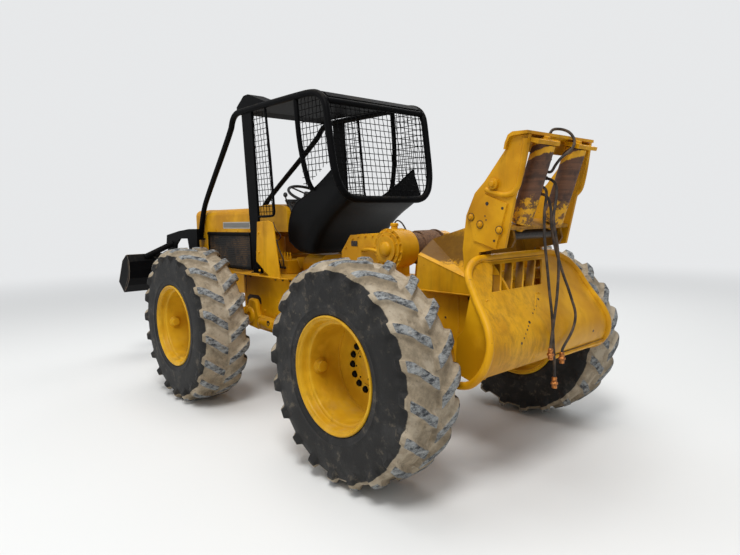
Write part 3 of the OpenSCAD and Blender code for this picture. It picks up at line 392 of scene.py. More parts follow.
def paint_yellow(colours, name="yellow_paint", oil=0.0, rust=0.35, smear=0.0, base=None, shade_and_oil=0.0):
    """Old gloss yellow: sun fade, dust on ledges, rubbed brown chips and dark oily runs. smear rubs mud
    over a marked surface; the last argument paints shade, with oil in it, between the arch's legs, under the rollers."""
    g = Graph(name, colours.paint)
    base = tuple(base or colours.paint)[:3]
    pale = (base[0] * 1.10, base[1] * 1.12, base[2] * 1.4 + 0.004)
    deep = tuple(c * k for c, k in zip(base, (0.72, 0.64, 0.42)))
    fade = g.span(g.noise(2.3, 3.0, 0.6), 0.36, 0.66)
    fine = g.noise(38.0, 5.0, 0.7)
    col = g.mix(fade, deep, base)
    col = g.mix(g.span(g.noise(7.0, 4.0), 0.52, 0.74) * 0.4, col, pale)
    up = g.span(g.facing("Z"), 0.35, 0.95)
    dust = up * g.span(g.noise(11.0, 6.0, 0.7), 0.42, 0.72) * 0.18
    col = g.mix(dust, col, tuple(colours.dust))
    runs = g.noise(9.0, 5.0, 0.65, g.where(scale=(1.0, 1.0, 0.16)))
    grime = g.span(runs, 0.55 - 0.09 * oil, 0.78) * (0.45 + 0.5 * oil)
    low = g.span(g.part(g.where(), "Z"), 0.25, 1.25, 1.0, 0.45)
    soil = tuple(c * 0.16 for c in base[:2]) + (0.006,)
    col = g.mix(grime * low, col, soil)
    if smear:
        y = g.part(g.where(), "Y")
        rubbed = g.noise(24.0, 9.0, 0.80, g.where(scale=(1.0, 1.0, 0.30), turn=(0.25, 0, 0)))
        patch = g.noise(3.0, 3.0)
        thick = g.span(rubbed, 0.40, 0.68) * g.span(y, -0.12, 0.18, 0.10, 1.0) * g.mark() * smear \
            * g.span(patch, 0.35, 0.60, 0.35, 1.0)
        col = g.mix(thick, col, lin(122, 92, 34))
        grime = grime.peak(thick * 0.8)
    # painted shade: dark brown with some oil, on what lies between the arch's legs under the rollers
    if shade_and_oil:
        at = g.where()
        inside = 1.0 - g.span(g.part(at, "Y").absolute(), 0.338, 0.350)
        height = g.part(at, "Z") + (fine - 0.5) * 0.16
        inside = inside * (1.0 - g.span(height, 1.56, 1.70)) * g.span(height, 1.38, 1.42) * shade_and_oil
        col = g.mix(inside, col, g.mix(fine, lin(44, 28, 12), lin(112, 74, 12)))
    chips = g.span(g.noise(26.0, 8.0, 0.72), 0.665 - 0.02 * rust, 0.70)
    scars = g.span(g.noise(5.0, 9.0, 0.74, lump=0.5), 0.655, 0.685) * g.span(fine, 0.42, 0.60)
    worn = chips.peak(scars) * (0.55 + 0.4 * rust)
    col = g.mix(worn, col, g.mix(fine, tuple(colours.rust), tuple(c * 0.45 for c in colours.rust)))
    rough = 0.34 + dust * 0.5 + grime * 0.25 + worn * 0.4 + fine * 0.10
    height = fine * 0.12 + g.noise(5.0, 2.0) * 0.35 - worn * 0.5
    return g.finish(col, rough, g.bump(height, 0.0012, 0.55), specular_ior_level=0.17)


def paint_black(colours, name="black_paint", dusty=0.12, shine=0.0):
    """Satin black over steel, with brown rubs and dust. shine makes it deeper and smoother."""
    g = Graph(name, colours.black)
    base = tuple(c * (1 - 4 * shine) for c in colours.black)
    fine = g.noise(46.0, 5.0, 0.7)
    col = g.mix(g.span(g.noise(6.0, 5.0), 0.4, 0.7) * 0.5, base, tuple(c * 1.6 + 0.001 for c in base))
    dust = g.span(g.facing("Z"), 0.1, 0.9) * g.span(g.noise(13.0, 6.0, 0.7), 0.42, 0.74) * dusty
    col = g.mix(dust, col, tuple(c * 0.4 for c in colours.dust))
    rub = g.span(g.noise(21.0, 8.0, 0.75), 0.70, 0.74) * 0.6
    col = g.mix(rub, col, tuple(c * 0.7 for c in colours.rust))
    rough = 0.44 - shine + dust * 0.5 + rub * 0.3 + fine * 0.14
    return g.finish(col, rough, g.bump(fine * 0.2 + g.noise(8.0, 3.0) * 0.3 - rub * 0.5, 0.001, 0.5),
                    specular_ior_level=0.05 + shine * 0.3)


def perforated(colours):
    """Black sheet with a grid of small round holes, painted dark as the shade behind it, with painted brown
    glints in some. The square of sin(k x) sin(k z) peaks at every half wave."""
    g = Graph("perforated_sheet", colours.black)
    at = g.where()
    hole_pitch = 0.020
    k = math.pi / hole_pitch
    dots = (g.part(at, "X") * k).sine() * (g.part(at, "Z") * k).sine()
    hole = g.span(dots * dots, 0.18, 0.34)
    col = g.mix(g.noise(9.0, 4.0), lin(11, 11, 12), lin(28, 27, 25))
    # painted shade in the holes, with painted brown glints where this noise is high
    glint = g.span(g.noise(5.0, 5.0, 0.7), 0.42, 0.60)
    col = g.mix(hole, col, g.mix(glint, lin(4, 4, 4), lin(112, 84, 54)))
    return g.finish(col, 0.5 + hole * 0.3, g.bump(hole * -1.0, 0.003, 0.8), specular_ior_level=0.3)


def plate_metal(colours):
    """Anodised plate with nothing on it: a pale border and a grey, scratched field."""
    g = Graph("blank_plate", (0.5, 0.5, 0.5))
    n = g.noise(40.0, 6.0, 0.7, g.where(scale=(0.2, 1.0, 1.0)))
    border = g.mix(n, lin(176, 172, 160), lin(206, 204, 196))
    col = g.mix(g.mark(), border, g.mix(n, lin(112, 110, 104), lin(148, 145, 138)))
    return g.finish(col, 0.35 + n * 0.2, g.bump(n, 0.0004, 0.3), metal=0.5)


def dark_steel(colours):
    """Nuts and bolts: nearly black, oiled, with rust in the corners."""
    g = Graph("dark_steel", (0.06, 0.055, 0.05))
    n = g.noise(55.0, 6.0, 0.7)
    col = g.mix(g.span(n, 0.4, 0.6), lin(30, 27, 25), lin(62, 54, 47))
    col = g.mix(g.span(g.noise(90.0, 5.0), 0.58, 0.68) * 0.6, col, tuple(colours.rust))
    return g.finish(col, 0.34 + n * 0.25, g.bump(n, 0.0006, 0.4), metal=0.4)


def tyre_rubber(colours):
    """Sidewalls black and scuffed grey, tread dusted with clay, lug tops rubbed blue-grey. mark is 0 on
    the sidewall, 0.25 on the tread's ground and 1 on a lug's top."""
    g = Graph("tyre", colours.rubber)
    lug = g.mark()
    base = tuple(colours.rubber)
    clay = tuple(colours.clay)
    big = g.noise(4.5, 5.0, 0.65)
    mid = g.noise(17.0, 7.0, 0.72)
    fine = g.noise(70.0, 6.0, 0.72)
    side = g.mix(g.span(big, 0.42, 0.68) * 0.7, base, tuple(c * 2.2 + 0.010 for c in base))
    side = g.mix(g.span(mid, 0.52, 0.66) * g.span(big, 0.40, 0.60) * 0.45, side, tuple(c * 0.5 for c in clay))
    soft = g.mix(g.span(mid, 0.36, 0.66), tuple(c * 0.66 for c in clay), clay)
    dry = tuple(min(c * k, 0.9) for c, k in zip(clay, (1.35, 1.42, 1.55)))
    soft = g.mix(g.span(big, 0.46, 0.62) * 0.75, soft, dry)
    soft = g.mix(g.span(g.noise(26.0, 9.0, 0.8), 0.56, 0.64) * 0.55, soft, tuple(c * 0.35 for c in clay))
    ragged = lug + (g.noise(11.0, 8.0, 0.75) - 0.5) * 0.22
    on_tread = g.span(ragged, 0.10, 0.16)
    col = g.mix(on_tread, side, soft)
    streak = g.noise(34.0, 8.0, 0.78, g.where(scale=(1.0, 0.45, 1.0)))
    scuff = g.mix(g.span(streak, 0.38, 0.60), lin(46, 48, 52), tuple(colours.scuff))
    scuff = g.mix(g.span(streak, 0.60, 0.70), scuff, lin(176, 172, 164))
    top = g.span(lug, 0.80, 0.93) * g.span(mid, 0.30, 0.46, 0.25, 1.0)
    col = g.mix(top, col, scuff)
    rough = 0.66 + on_tread * 0.25 - fine * 0.08
    height = fine * 0.35 + mid * 0.5 + streak * top * 0.5
    return g.finish(col, rough, g.bump(height, 0.005, 0.7), specular_ior_level=0.25)


def bare_steel(colours):
    """Oily castings: grey steel under brown film."""
    g = Graph("bare_steel", (0.2, 0.18, 0.16))
    fine = g.noise(40.0, 6.0, 0.7)
    col = g.mix(g.span(g.noise(8.0, 5.0), 0.35, 0.65), lin(70, 64, 58), lin(112, 98, 80))
    col = g.mix(g.span(g.noise(16.0, 6.0), 0.5, 0.62) * 0.5, col, tuple(colours.rust))
    return g.finish(col, 0.45 + fine * 0.3, g.bump(fine, 0.0012, 0.5), metal=0.35)


def roller_steel(colours):
    """Fairlead rollers: rust worn in rings, with chipped yellow left at both ends."""
    g = Graph("roller_steel", colours.rust)
    at = g.where(turn=(0, -LEAN, 0))
    along = g.part(g.add("ShaderNodeVectorMath", {"operation": "ADD"}, {
        0: at, 1: tuple(-x for x in turned_back(lean_at(0, 0, 0)))}), "Z")
    rings = g.noise(3.0, 7.0, 0.75, g.where(scale=(0.4, 0.4, 16.0), turn=(0, -LEAN, 0)))
    col = g.mix(g.span(rings, 0.30, 0.70), lin(74, 50, 36), lin(112, 74, 50))
    dark = g.span(g.noise(9.0, 6.0, 0.7), 0.46, 0.62)
    col = g.mix(dark * 0.7, col, lin(50, 36, 30))
    rag = (g.noise(16.0, 8.0, 0.75) - 0.5) * 0.05
    down = along * -1.0 + rag
    cap = g.span(along + rag, 0.196, 0.201)
    stripe = g.span(along + rag, 0.128, 0.134) * g.span(down, -0.166, -0.161)
    low = g.span(along * -1.0 + (g.noise(7.0, 6.0, 0.7) - 0.5) * 0.26, 0.085, 0.115)
    chips = g.span(g.noise(20.0, 9.0, 0.78), 0.49, 0.525)
    low = low * (chips * -0.9 + 1.0) * g.span(along, -0.272, -0.264)
    left = cap.peak(stripe).peak(low)
    col = g.mix(left, col, tuple(colours.paint))
    fine = g.noise(55.0, 6.0, 0.7)
    return g.finish(col, 0.55 + fine * 0.25, g.bump(rings * 0.4 + fine * 0.5 + left * 0.8, 0.0015, 0.7), metal=0.0)


def turned_back(p):
    """p turned by -LEAN about Y, as the mapping turns it."""
    c, s = math.cos(-LEAN), math.sin(-LEAN)
    return (p[0] * c + p[2] * s, p[1], -p[0] * s + p[2] * c)


def hose_rubber(colours):
    """Black hose with a fine weave of wrapped cloth and dust on it."""
    g = Graph("hose_rubber", (0.02, 0.02, 0.02))
    wave = g.noise(160.0, 4.0, 0.6)
    col = g.mix(g.span(g.noise(18.0, 5.0), 0.38, 0.68) * 0.8, lin(40, 34, 30), lin(92, 74, 56))
    return g.finish(col, 0.62 + wave * 0.2, g.bump(wave, 0.0008, 0.6))


def brass(colours):
    """Hose couplings: plated brass with brown patches."""
    g = Graph("brass_fitting", (0.5, 0.36, 0.16))
    n = g.noise(60.0, 5.0, 0.7)
    col = g.mix(g.span(n, 0.4, 0.6), lin(206, 134, 70), lin(138, 84, 44))
    return g.finish(col, 0.38 + n * 0.2, g.bump(n, 0.0006, 0.4), metal=0.8)


def chrome(colours):
    """Cylinder rod: hard chrome with a film of oil and dust."""
    g = Graph("chrome_rod", (0.7, 0.7, 0.7))
    n = g.noise(30.0, 5.0, 0.7)
    col = g.mix(g.span(n, 0.45, 0.7) * 0.6, lin(205, 205, 204), lin(120, 104, 84))
    return g.finish(col, 0.18 + n * 0.2, g.bump(n, 0.0004, 0.3), metal=0.95)


def vinyl(colours):
    """Seat cover: black vinyl with a pebbled grain."""
    g = Graph("seat_vinyl", (0.03, 0.03, 0.03))
    grain = g.cells(320.0)
    col = g.mix(g.span(g.noise(9.0, 4.0), 0.4, 0.7) * 0.5, lin(34, 33, 33), lin(66, 62, 58))
    return g.finish(col, 0.48 + g.noise(14.0) * 0.2, g.bump(grain, 0.0008, 0.5))


def rope_steel(colours):
    """Wire rope: rusty brown strands."""
    g = Graph("wire_rope", (0.15, 0.1, 0.07))
    n = g.noise(70.0, 6.0, 0.7)
    col = g.mix(g.span(n, 0.35, 0.65), lin(74, 50, 34), lin(128, 92, 62))
    return g.finish(col, 0.6 + n * 0.2, g.bump(n, 0.001, 0.6), metal=0.3)


def plastic_black(colours):
    """Knobs, gauges and the dash: black with a fine grain."""
    g = Graph("plastic_black", (0.02, 0.02, 0.02))
    n = g.noise(90.0, 4.0, 0.6)
    return g.finish(g.mix(n, lin(22, 22, 23), lin(44, 43, 42)), 0.45 + n * 0.2, g.bump(n, 0.0005, 0.4))


# Sizes and colours that a user would change

def shade(name, text, rgb):
    """A colour property with an sRGB default."""
    return FloatVectorProperty(name=name, description=text, subtype="COLOR", size=3, min=0, max=1, default=lin(*rgb))


class SkidderColours(bpy.types.PropertyGroup):
    """The colours that the finishes mix"""
    paint: shade("Paint", "Yellow of the machine's paint", (216, 158, 18))
    black: shade("Black", "Canopy and blade paint", (8, 8, 9))
    rubber: shade("Rubber", "Tyre sidewalls", (29, 28, 27))
    clay: shade("Clay", "Dried mud on the tread", (158, 143, 120))
    scuff: shade("Scuff", "Rubbed tops of the lugs", (146, 148, 147))
    dust: shade("Dust", "Dust on ledges", (176, 156, 122))
    rust: shade("Rust", "Steel where the paint is gone", (96, 60, 38))
    floor: shade("Floor", "Studio floor and backdrop", (228, 228, 226))


class SkidderSizes(bpy.types.PropertyGroup):
    """The measures of the tyres, hoses and screens"""
    tyre_radius: FloatProperty(name="Tyre radius", description="Over the lugs", unit="LENGTH", default=0.735)
    lug_height: FloatProperty(name="Lug height", description="Above the carcass", unit="LENGTH", default=0.038)
    lug_count: IntProperty(name="Lugs", description="On each side of a tyre", default=20, min=8, max=30)
    lug_sweep: FloatProperty(name="Lug sweep", description="Turn from nose to shoulder", subtype="ANGLE",
                             default=math.radians(14))
    lug_width: FloatProperty(name="Lug width", description="Across the top", unit="LENGTH", default=0.070)
    hose_radius: FloatProperty(name="Hose radius", description="Free hoses", unit="LENGTH", default=0.009)
    wire_radius: FloatProperty(name="Wire radius", description="Screen wires", unit="LENGTH", default=0.0031)
    wire_pitch: FloatProperty(name="Wire pitch", description="Between screen wires", unit="LENGTH", default=0.05)


def settings():
    """The scene's sizes and colours."""
    s = bpy.context.scene
    return s.skidder_sizes, s.skidder_colours


# Every finish takes the colours, used or not, so that need can call them alike
FINISHES = {
    "yellow": paint_yellow,
    "rim": lambda c: paint_yellow(c, "yellow_rim", 0.15, 0.2, base=lin(224, 176, 40)),
    "shaded": lambda c: paint_yellow(c, "yellow_shaded", 0.9, 0.8, base=lin(150, 104, 10)),
    # The fairlead's and the arch's finishes paint shade, dark brown with some oil, between the arch's legs under the
    # rollers
    "grubby_shaded": lambda c: paint_yellow(c, "yellow_grubby", 1.4, 1.3, shade_and_oil=1.0),
    "arch": lambda c: paint_yellow(c, "yellow_arch", 0.8, 0.7, shade_and_oil=0.9),
    "plate": lambda c: paint_yellow(c, "yellow_plate", 0.25, 0.4, 0.6),
    "oily": lambda c: paint_yellow(c, "yellow_oily", 0.7, 0.6),
    "black": paint_black, "glossy": lambda c: paint_black(c, "glossy_black", 0.05, 0.12),
    "dark": dark_steel, "perforated": perforated, "plate_metal": plate_metal, "tyre": tyre_rubber,
    "steel": bare_steel, "roller": roller_steel, "hose": hose_rubber, "brass": brass, "chrome": chrome,
    "vinyl": vinyl, "rope": rope_steel, "plastic": plastic_black,
}
MATS = {}


def need(name):
    """The named finish, made the first time that it is asked for."""
    if name not in MATS:
        MATS[name] = FINISHES[name](settings()[1])
    return MATS[name]


# Pieces

HOSES = {  # each route in millimetres
    "a": [(-765, 32, 1884), (-795, 60, 1850), (-812, 98, 1790), (-822, 128, 1714), (-834, 144, 1600),
          (-844, 144, 1496), (-850, 128, 1370), (-854, 110, 1240), (-858, 88, 1110), (-858, 68, 975),
          (-858, 50, 815), (-858, 42, 720), (-858, 40, 660)],
    "b": [(-785, -18, 1936), (-822, 0, 1905), (-850, 35, 1850), (-866, 75, 1780), (-873, 105, 1700),
          (-878, 95, 1610), (-882, 72, 1524), (-884, 55, 1400), (-884, 60, 1280), (-884, 73, 1172),
          (-884, 98, 1060), (-884, 118, 970), (-882, 129, 910), (-882, 132, 870)],
    "c": [(-750, -6, 1838), (-785, 8, 1800), (-812, 32, 1735), (-826, 50, 1650), (-832, 30, 1550),
          (-842, 1, 1457), (-852, -62, 1322), (-858, -115, 1230), (-862, -159, 1146), (-864, -196, 1075),
          (-864, -203, 1015), (-864, -175, 955), (-864, -129, 905), (-864, -80, 868), (-864, -46, 838),
          (-864, -38, 812)],
    "d": [(-806, 20, 2246), (-818, -12, 2254), (-840, -55, 2250), (-868, -82, 2230), (-892, -92, 2190),
          (-898, -80, 2150), (-896, -44, 2118), (-888, -8, 2094), (-872, 32, 2062), (-848, 46, 2026),
          (-812, 40, 1985)],
}
PORT_DEPTH, TOP_PORT = 0.036, (-0.8, 0.037, 2.224)
PORTS = {"a": (0.025, -0.020), "b": (-0.020, 0.035), "c": (-0.010, -0.070), "d": (0.030, 0.080)}


class SKIDDER_OT_hoses(bpy.types.Operator):
    """Sweeps the four free hoses along their routes"""
    bl_idname = "skidder.hoses"
    bl_label = "Hoses"

    def execute(self, context):
        sizes, _ = settings()
        for k, route in HOSES.items():
            port = lean_at(PORT_DEPTH, *PORTS[k])
            pts = [P(x / 1000, y / 1000, z / 1000) for x, y, z in route]
            pts = [P(*TOP_PORT)] + pts + [port] if k == "d" else [port] + pts
            path = resample(spline(np.array(pts), 8), 0.008)
            obj = tube(path, sizes.hose_radius, 14).make("free_hose_" + k, need("hose"), "rear", "hose_rubber", 60)
            ends = [] if k == "d" else [
                hose_end(path[-1]).make("hose_end_" + k, need("brass"), "rear", "brass_fitting", 30)]
            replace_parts(obj, "hose_" + k)
        ports = Soup()
        for port in PORTS.values():
            foot = lean_at(0.060, *port)
            coupling(ports, foot, lean_at(PORT_DEPTH, *port) - foot)
        coupling(ports, P(-0.8, 0.037, 2.2075), UP * 0.0165)
        obj = ports.make("hose_ports", need("steel"), "rear", "bare_steel", 30)
        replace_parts(obj, "fittings")
        return {"FINISHED"}


def hose_end(at):
    """Below a hose: crimped ferrule with three grooves, hexagon, and the open end of a tube nut."""
    soup = Soup()
    groove = [(0.0122 - 0.0012 * (k % 2), 0.0015 + 0.003 * k) for k in range(7)]
    for rows, sides in (
            ([(0.0095, -0.004), (0.0118, 0.0)] + groove + [(0.0120, 0.0235), (0.0085, 0.0245)], 20),
            ([(0.0085, 0.024), (0.0148, 0.0250), (0.0165, 0.0275), (0.0165, 0.0380), (0.0148, 0.0400)], 6),
            ([(0.0120, 0.0395), (0.0120, 0.0590), (0.0110, 0.0605), (0.0072, 0.0605), (0.0072, 0.0450),
              (0, 0.0445)], 20)):
        turned([(r * 1.4, h * 1.15) for r, h in rows], at, -UP, sides, soup)
    return soup


def coupling(soup, base, axis):
    """A hexagon nut and ferrule as long as the axis, from base."""
    h = float(np.linalg.norm(axis))
    turned([(0.0165, 0.0), (0.0165, h * 0.42), (0.0150, h * 0.48)], base, axis, 6, soup)
    turned([(0.0120, h * 0.40), (0.0128, h * 0.6), (0.0128, h * 0.95), (0.0098, h)], base, axis, 18, soup)


class SKIDDER_OT_tyres(bpy.types.Operator):
    """Moulds the four tyres as one surface of revolution with a chevron height field"""
    bl_idname = "skidder.tyres"
    bl_label = "Tyres"

    def execute(self, context):
        sizes, _ = settings()
        for name, (x, side) in WHEELS.items():
            soup = tyre_surface(sizes, P(x, side * HALF_TRACK, AXLE_Z), side, 7 * len(name))
            obj = soup.make("tyre_moulding_" + name, need("tyre"), "wheel_" + name, "tyre", 50)
            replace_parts(obj, "tyre_" + name)
        return {"FINISHED"}


def tyre_surface(sizes, centre, side, seed):
    """P(a, t) = carcass(t) + normal(t) h(a, t), with a round the axle and t from bead to bead.

    h is lug_height times a flank profile of (half width - distance to the nearest lug's middle line),
    where that line runs back by sweep * (|y| / half width) ^ 1.25 from nose to shoulder."""
    n, r0 = sizes.lug_count, sizes.tyre_radius - sizes.lug_height
    pitch = TAU / n
    half = np.array([
        (0.3635, 0.170), (0.3655, 0.199), (0.380, 0.2015), (0.3865, 0.206), (0.393, 0.2125), (0.405, 0.2165),
        (0.412, 0.2180), (0.430, 0.2195), (0.4325, 0.2225), (0.440, 0.2228), (0.443, 0.2203), (0.475, 0.2225),
        (0.520, 0.2245), (0.560, 0.2240), (0.590, 0.2205), (0.612, 0.2150), (0.634, 0.2080), (0.650, 0.2010),
        (0.664, 0.1925), (0.675, 0.1830), (0.683, 0.1725), (0.6885, 0.1600), (0.6915, 0.1450), (0.6935, 0.1250),
        (0.6950, 0.1000), (0.6960, 0.0750), (0.6968, 0.0500), (0.6972, 0.0300), (0.6974, 0.0150)])
    half[:, 0] *= r0 / 0.697
    prof = np.concatenate([half * [1, -1], [[r0, 0.0]], half[::-1]])
    # one pitch of stations round the tyre, crowded where the flanks of either side's lugs stand
    half_top = sizes.lug_width / 2 / (pitch * sizes.tyre_radius)
    flank = half_top + np.array([-0.022, 0.0, 0.034, 0.077])
    flank = np.concatenate([-flank[::-1], [-0.05, 0.05], flank])
    st = np.sort(np.concatenate([(0.25 + flank) % 1, (0.75 + flank) % 1]))
    a = (np.arange(n)[:, None] + st[None, :]).ravel() * TAU / n
    r, y = prof[:, 0], prof[:, 1]
    d = unit(np.gradient(prof, axis=0))
    nr, ny = d[:, 1], -d[:, 0]
    w = np.clip(np.abs(y) / 0.223, 0, 1)
    shift = sizes.lug_sweep * (w ** 1.25) * np.where(r < 0.60, 0.96, 1.0)
    ang = a[:, None] + shift[None, :]
    phase = np.where(y < 0, 0.75, 0.25)[None, :]
    dist = ((a[:, None] / pitch - phase + 0.5) % 1 - 0.5) * pitch * sizes.tyre_radius
    k = np.random.default_rng(seed).uniform(0, TAU, 4)
    ragged = 0.0022 * (np.sin(29 * ang + 47 * y + k[2]) + np.sin(61 * ang - 83 * y + k[3]))
    edge = sizes.lug_width / 2 + ragged - np.abs(dist)
    step = np.interp(edge, [-0.030, -0.018, -0.008, 0.0, 0.005], [0, 0.06, 0.36, 0.92, 1.0])
    nose = np.clip((np.abs(y) - 0.004) / 0.010, 0, 1)
    tail = np.clip((r - 0.606) / 0.034, 0, 1)
    tail = tail * tail * (3 - 2 * tail)
    h = step * (nose * tail)[None, :]
    wear = 1 - 0.05 * (1 + np.sin(3 * ang + k[0]) * np.sin(17 * ang + 40 * y[None, :] + k[1]))
    lift = sizes.lug_height * h * wear
    rr = r[None, :] + nr[None, :] * lift
    yy = y[None, :] + ny[None, :] * lift
    rr = np.minimum(rr, sizes.tyre_radius - 0.0005)
    ground = np.clip((r - 0.652) / 0.022, 0, 1)[None, :]
    mark = ground * (0.25 + 0.75 * h)
    v = np.stack([centre[0] + rr * np.cos(ang), centre[1] + side * yy, centre[2] - rr * np.sin(ang)], -1)
    m, c = ang.shape
    quads = grid(m, c, True, True, flip=side < 0)
    return Soup().add(v, quads[:, ::-1], mark=np.clip(mark, 0, 1).ravel())


RIM_FACE = [
    (0.3820, 0.2025), (0.3835, 0.2080), (0.3828, 0.2140), (0.3785, 0.2185), (0.3735, 0.2195), (0.3690, 0.2165),
    (0.3668, 0.2105), (0.3612, 0.2060), (0.3540, 0.2020), (0.3490, 0.1940), (0.3465, 0.1800), (0.3455, 0.1580),
    (0.3420, 0.1510), (0.3330, 0.1490), (0.3245, 0.1475), (0.3200, 0.1430), (0.3185, 0.1340), (0.3170, 0.0600),
    (0.3165, -0.0980), (0.3120, -0.1045), (0.2950, -0.1075), (0.2620, -0.1110), (0.1290, -0.1110), (0.1270, -0.1075),
    (0.1180, -0.1060), (0.1120, -0.1000), (0.1080, -0.0800), (0.0920, -0.0680), (0, -0.0680)]
RIM_BACK = [
    (0.3820, -0.2025), (0.3835, -0.2080), (0.3785, -0.2185), (0.3690, -0.2165), (0.3612, -0.2060), (0.3520, -0.2040),
    (0.3450, -0.1760), (0.3450, -0.1500), (0.3250, -0.1220), (0.3000, -0.1270), (0.1600, -0.1270), (0.0650, -0.1265)]
BOSS = [(0.054, -0.006), (0.054, 0.006), (0.049, 0.011), (0.041, 0.013), (0.038, 0.016), (0.038, 0.035), (0.034, 0.039),
        (0, 0.040)]
BOSS_ANGLE = math.radians(-3.3)
NUT = [(0.0245, 0), (0.0245, 0.0030), (0.0215, 0.0045), (0.0210, 0.0120), (0.0165, 0.0165), (0.0085, 0.0185),
       (0, 0.0190)]
NUTS, NUT_START = 15, math.radians(4)


class SKIDDER_OT_wheels(bpy.types.Operator):
    """Spins each rim with rolled lips, welded disc and filling boss, and adds the dark nuts and hub screws"""
    bl_idname = "skidder.wheels"
    bl_label = "Rims and nuts"

    def execute(self, context):
        for name, (x, side) in WHEELS.items():
            at, out = P(x, side * HALF_TRACK, AXLE_Z), side * LEFT
            rim, nuts = Soup(), Soup()
            turned(RIM_FACE, at, out, 144, rim, cap=False)
            turned(RIM_BACK, at, out, 96, rim, cap=False)
            ring(rim, at + out * -0.1015, out, 0.3125, 0.0055, 144, 8)
            ring(rim, at + out * 0.2010, out, 0.3555, 0.0028, 120, 6)
            turned(BOSS, at + spoke(0.3150, BOSS_ANGLE) + out * 0.062, -spoke(1.0, BOSS_ANGLE), 36, rim)
            for k in range(NUTS):
                turned(NUT, at + spoke(0.168, TAU * k / NUTS - NUT_START) - out * 0.1112, out, 20, nuts)
            for k in range(6):
                bolt(nuts, at + spoke(0.080, TAU * k / 6) - out * 0.0680, out, 0.0050, 0.003)
            ring(nuts, at - out * 0.1105, out, 0.1300, 0.0016, 72, 6)
            rim = rim.make("rim_spun_" + name, need("rim"), "wheel_" + name, "yellow_paint", 40)
            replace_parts(rim, "rim_" + name)
            nuts.make("wheel_nuts_" + name, need("glossy"), "wheel_" + name, "bare_steel")
        return {"FINISHED"}


def woven(soup, place, us, vs, inside, r):
    """Crossed wires. One along v lies r cos(pi (i + (v - v0) / pitch)) off the plane, one along u lies
    as far on the other side, so that they pass over and under each other by turns."""
    for along_v, these, others in ((True, us, vs), (False, vs, us)):
        pitch = others[1] - others[0]
        t = np.arange(others[0] - 1.5 * pitch, others[-1] + 1.5 * pitch, pitch / 10)
        for i, c in enumerate(these):
            ok = np.array([inside(c, b) if along_v else inside(b, c) for b in t])
            if ok.sum() < 6:
                continue
            b = np.linspace(t[ok][0], t[ok][-1], int(np.ptp(t[ok]) / pitch * 2) + 3)
            w = (r if along_v else -r) * np.cos(math.pi * (i + (b - others[0]) / pitch))
            tube([place(c, q, h) if along_v else place(q, c, h) for q, h in zip(b, w)], r, 6, soup=soup)


# Outlines of the screens from the front axle, as tables of heights and lengths
REAR_HALF = ([1.868, 1.88, 1.905, 1.945, 1.985, 2.09], [0.24, 0.38, 0.455, 0.497, 0.52, 0.549])
FRONT_EDGE = [(-0.712, 2.708), (-0.742, 2.45), (-0.766, 2.25), (-0.801, 1.80), (-0.797, 1.768), (-0.774, 1.75),
              (-0.538, 1.748)]
FRONT_AHEAD = ([1.748, 2.725], [-0.520, -0.470])
FRONT_BEHIND = ([1.752, 1.768, 1.80, 2.25, 2.45, 2.708], [-0.774, -0.797, -0.801, -0.766, -0.742, -0.712])
SIDE_FOOT = ([-1.70, -1.58, -1.37, -1.24], [2.15, 2.14, 2.012, 1.95])
SIDE_BEHIND = ([2.09, 2.37, 2.56, 2.672, 2.71], [-1.682, -1.65, -1.625, -1.57, -1.51])
SIDE_AHEAD = ([2.04, 2.35, 2.71], [-1.262, -1.238, -1.206])
SCREEN_Y, LEAN_FROM = 0.547, 1.75
REAR_LEAN, FRONT_LEAN, SIDE_LEAN = 0.16, 0.075, 0.05


class SKIDDER_OT_mesh(bpy.types.Operator):
    """Weaves the wire screens: the rear one, and two panels in each side with a tube round the front one"""
    bl_idname = "skidder.mesh"
    bl_label = "Wire screens"

    def execute(self, context):
        sizes, _ = settings()
        r, step = sizes.wire_radius, sizes.wire_pitch
        rear, sides = Soup(), Soup()

        def behind(y, z):
            return 1.882 < z < 2.645 and abs(y) < np.interp(z, *REAR_HALF)

        def front_panel(x, z):
            x = x + (z - LEAN_FROM) * FRONT_LEAN
            return 1.752 < z < 2.715 and np.interp(z, *FRONT_BEHIND) < x < np.interp(z, *FRONT_AHEAD)

        def rear_panel(x, z):
            x = x + (z - LEAN_FROM) * SIDE_LEAN
            return np.interp(x, *SIDE_FOOT) < z < 2.712 and np.interp(z, *SIDE_BEHIND) < x < np.interp(z, *SIDE_AHEAD)

        half = int(0.52 / step)
        woven(rear, lambda y, z, w: F(-1.722 + (z - 1.872) * REAR_LEAN + w, y, z),
              np.arange(-half, half + 1) * step, np.arange(1.895, 2.63, step), behind, r)
        for s in (1, -1):
            for lean, us, foot, inside in ((FRONT_LEAN, np.arange(-0.776, -0.52, step), 1.79, front_panel),
                                           (SIDE_LEAN, np.arange(-1.67, -1.24, step), 2.01, rear_panel)):
                woven(sides, lambda x, z, w: F(x + (z - LEAN_FROM) * lean, s * SCREEN_Y + w, z), us,
                      np.arange(foot, 2.70, step), inside, r)
            tube(rounded([F(x, s * SCREEN_Y, z) for x, z in FRONT_EDGE], 2), 0.0115, 12, soup=sides)
        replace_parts(rear.make("rear_screen_wires", need("black"), "front", "black_paint", 60), "screens")
        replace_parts(sides.make("side_screen_wires", need("black"), "front", "black_paint", 60), "side_mesh")
        return {"FINISHED"}


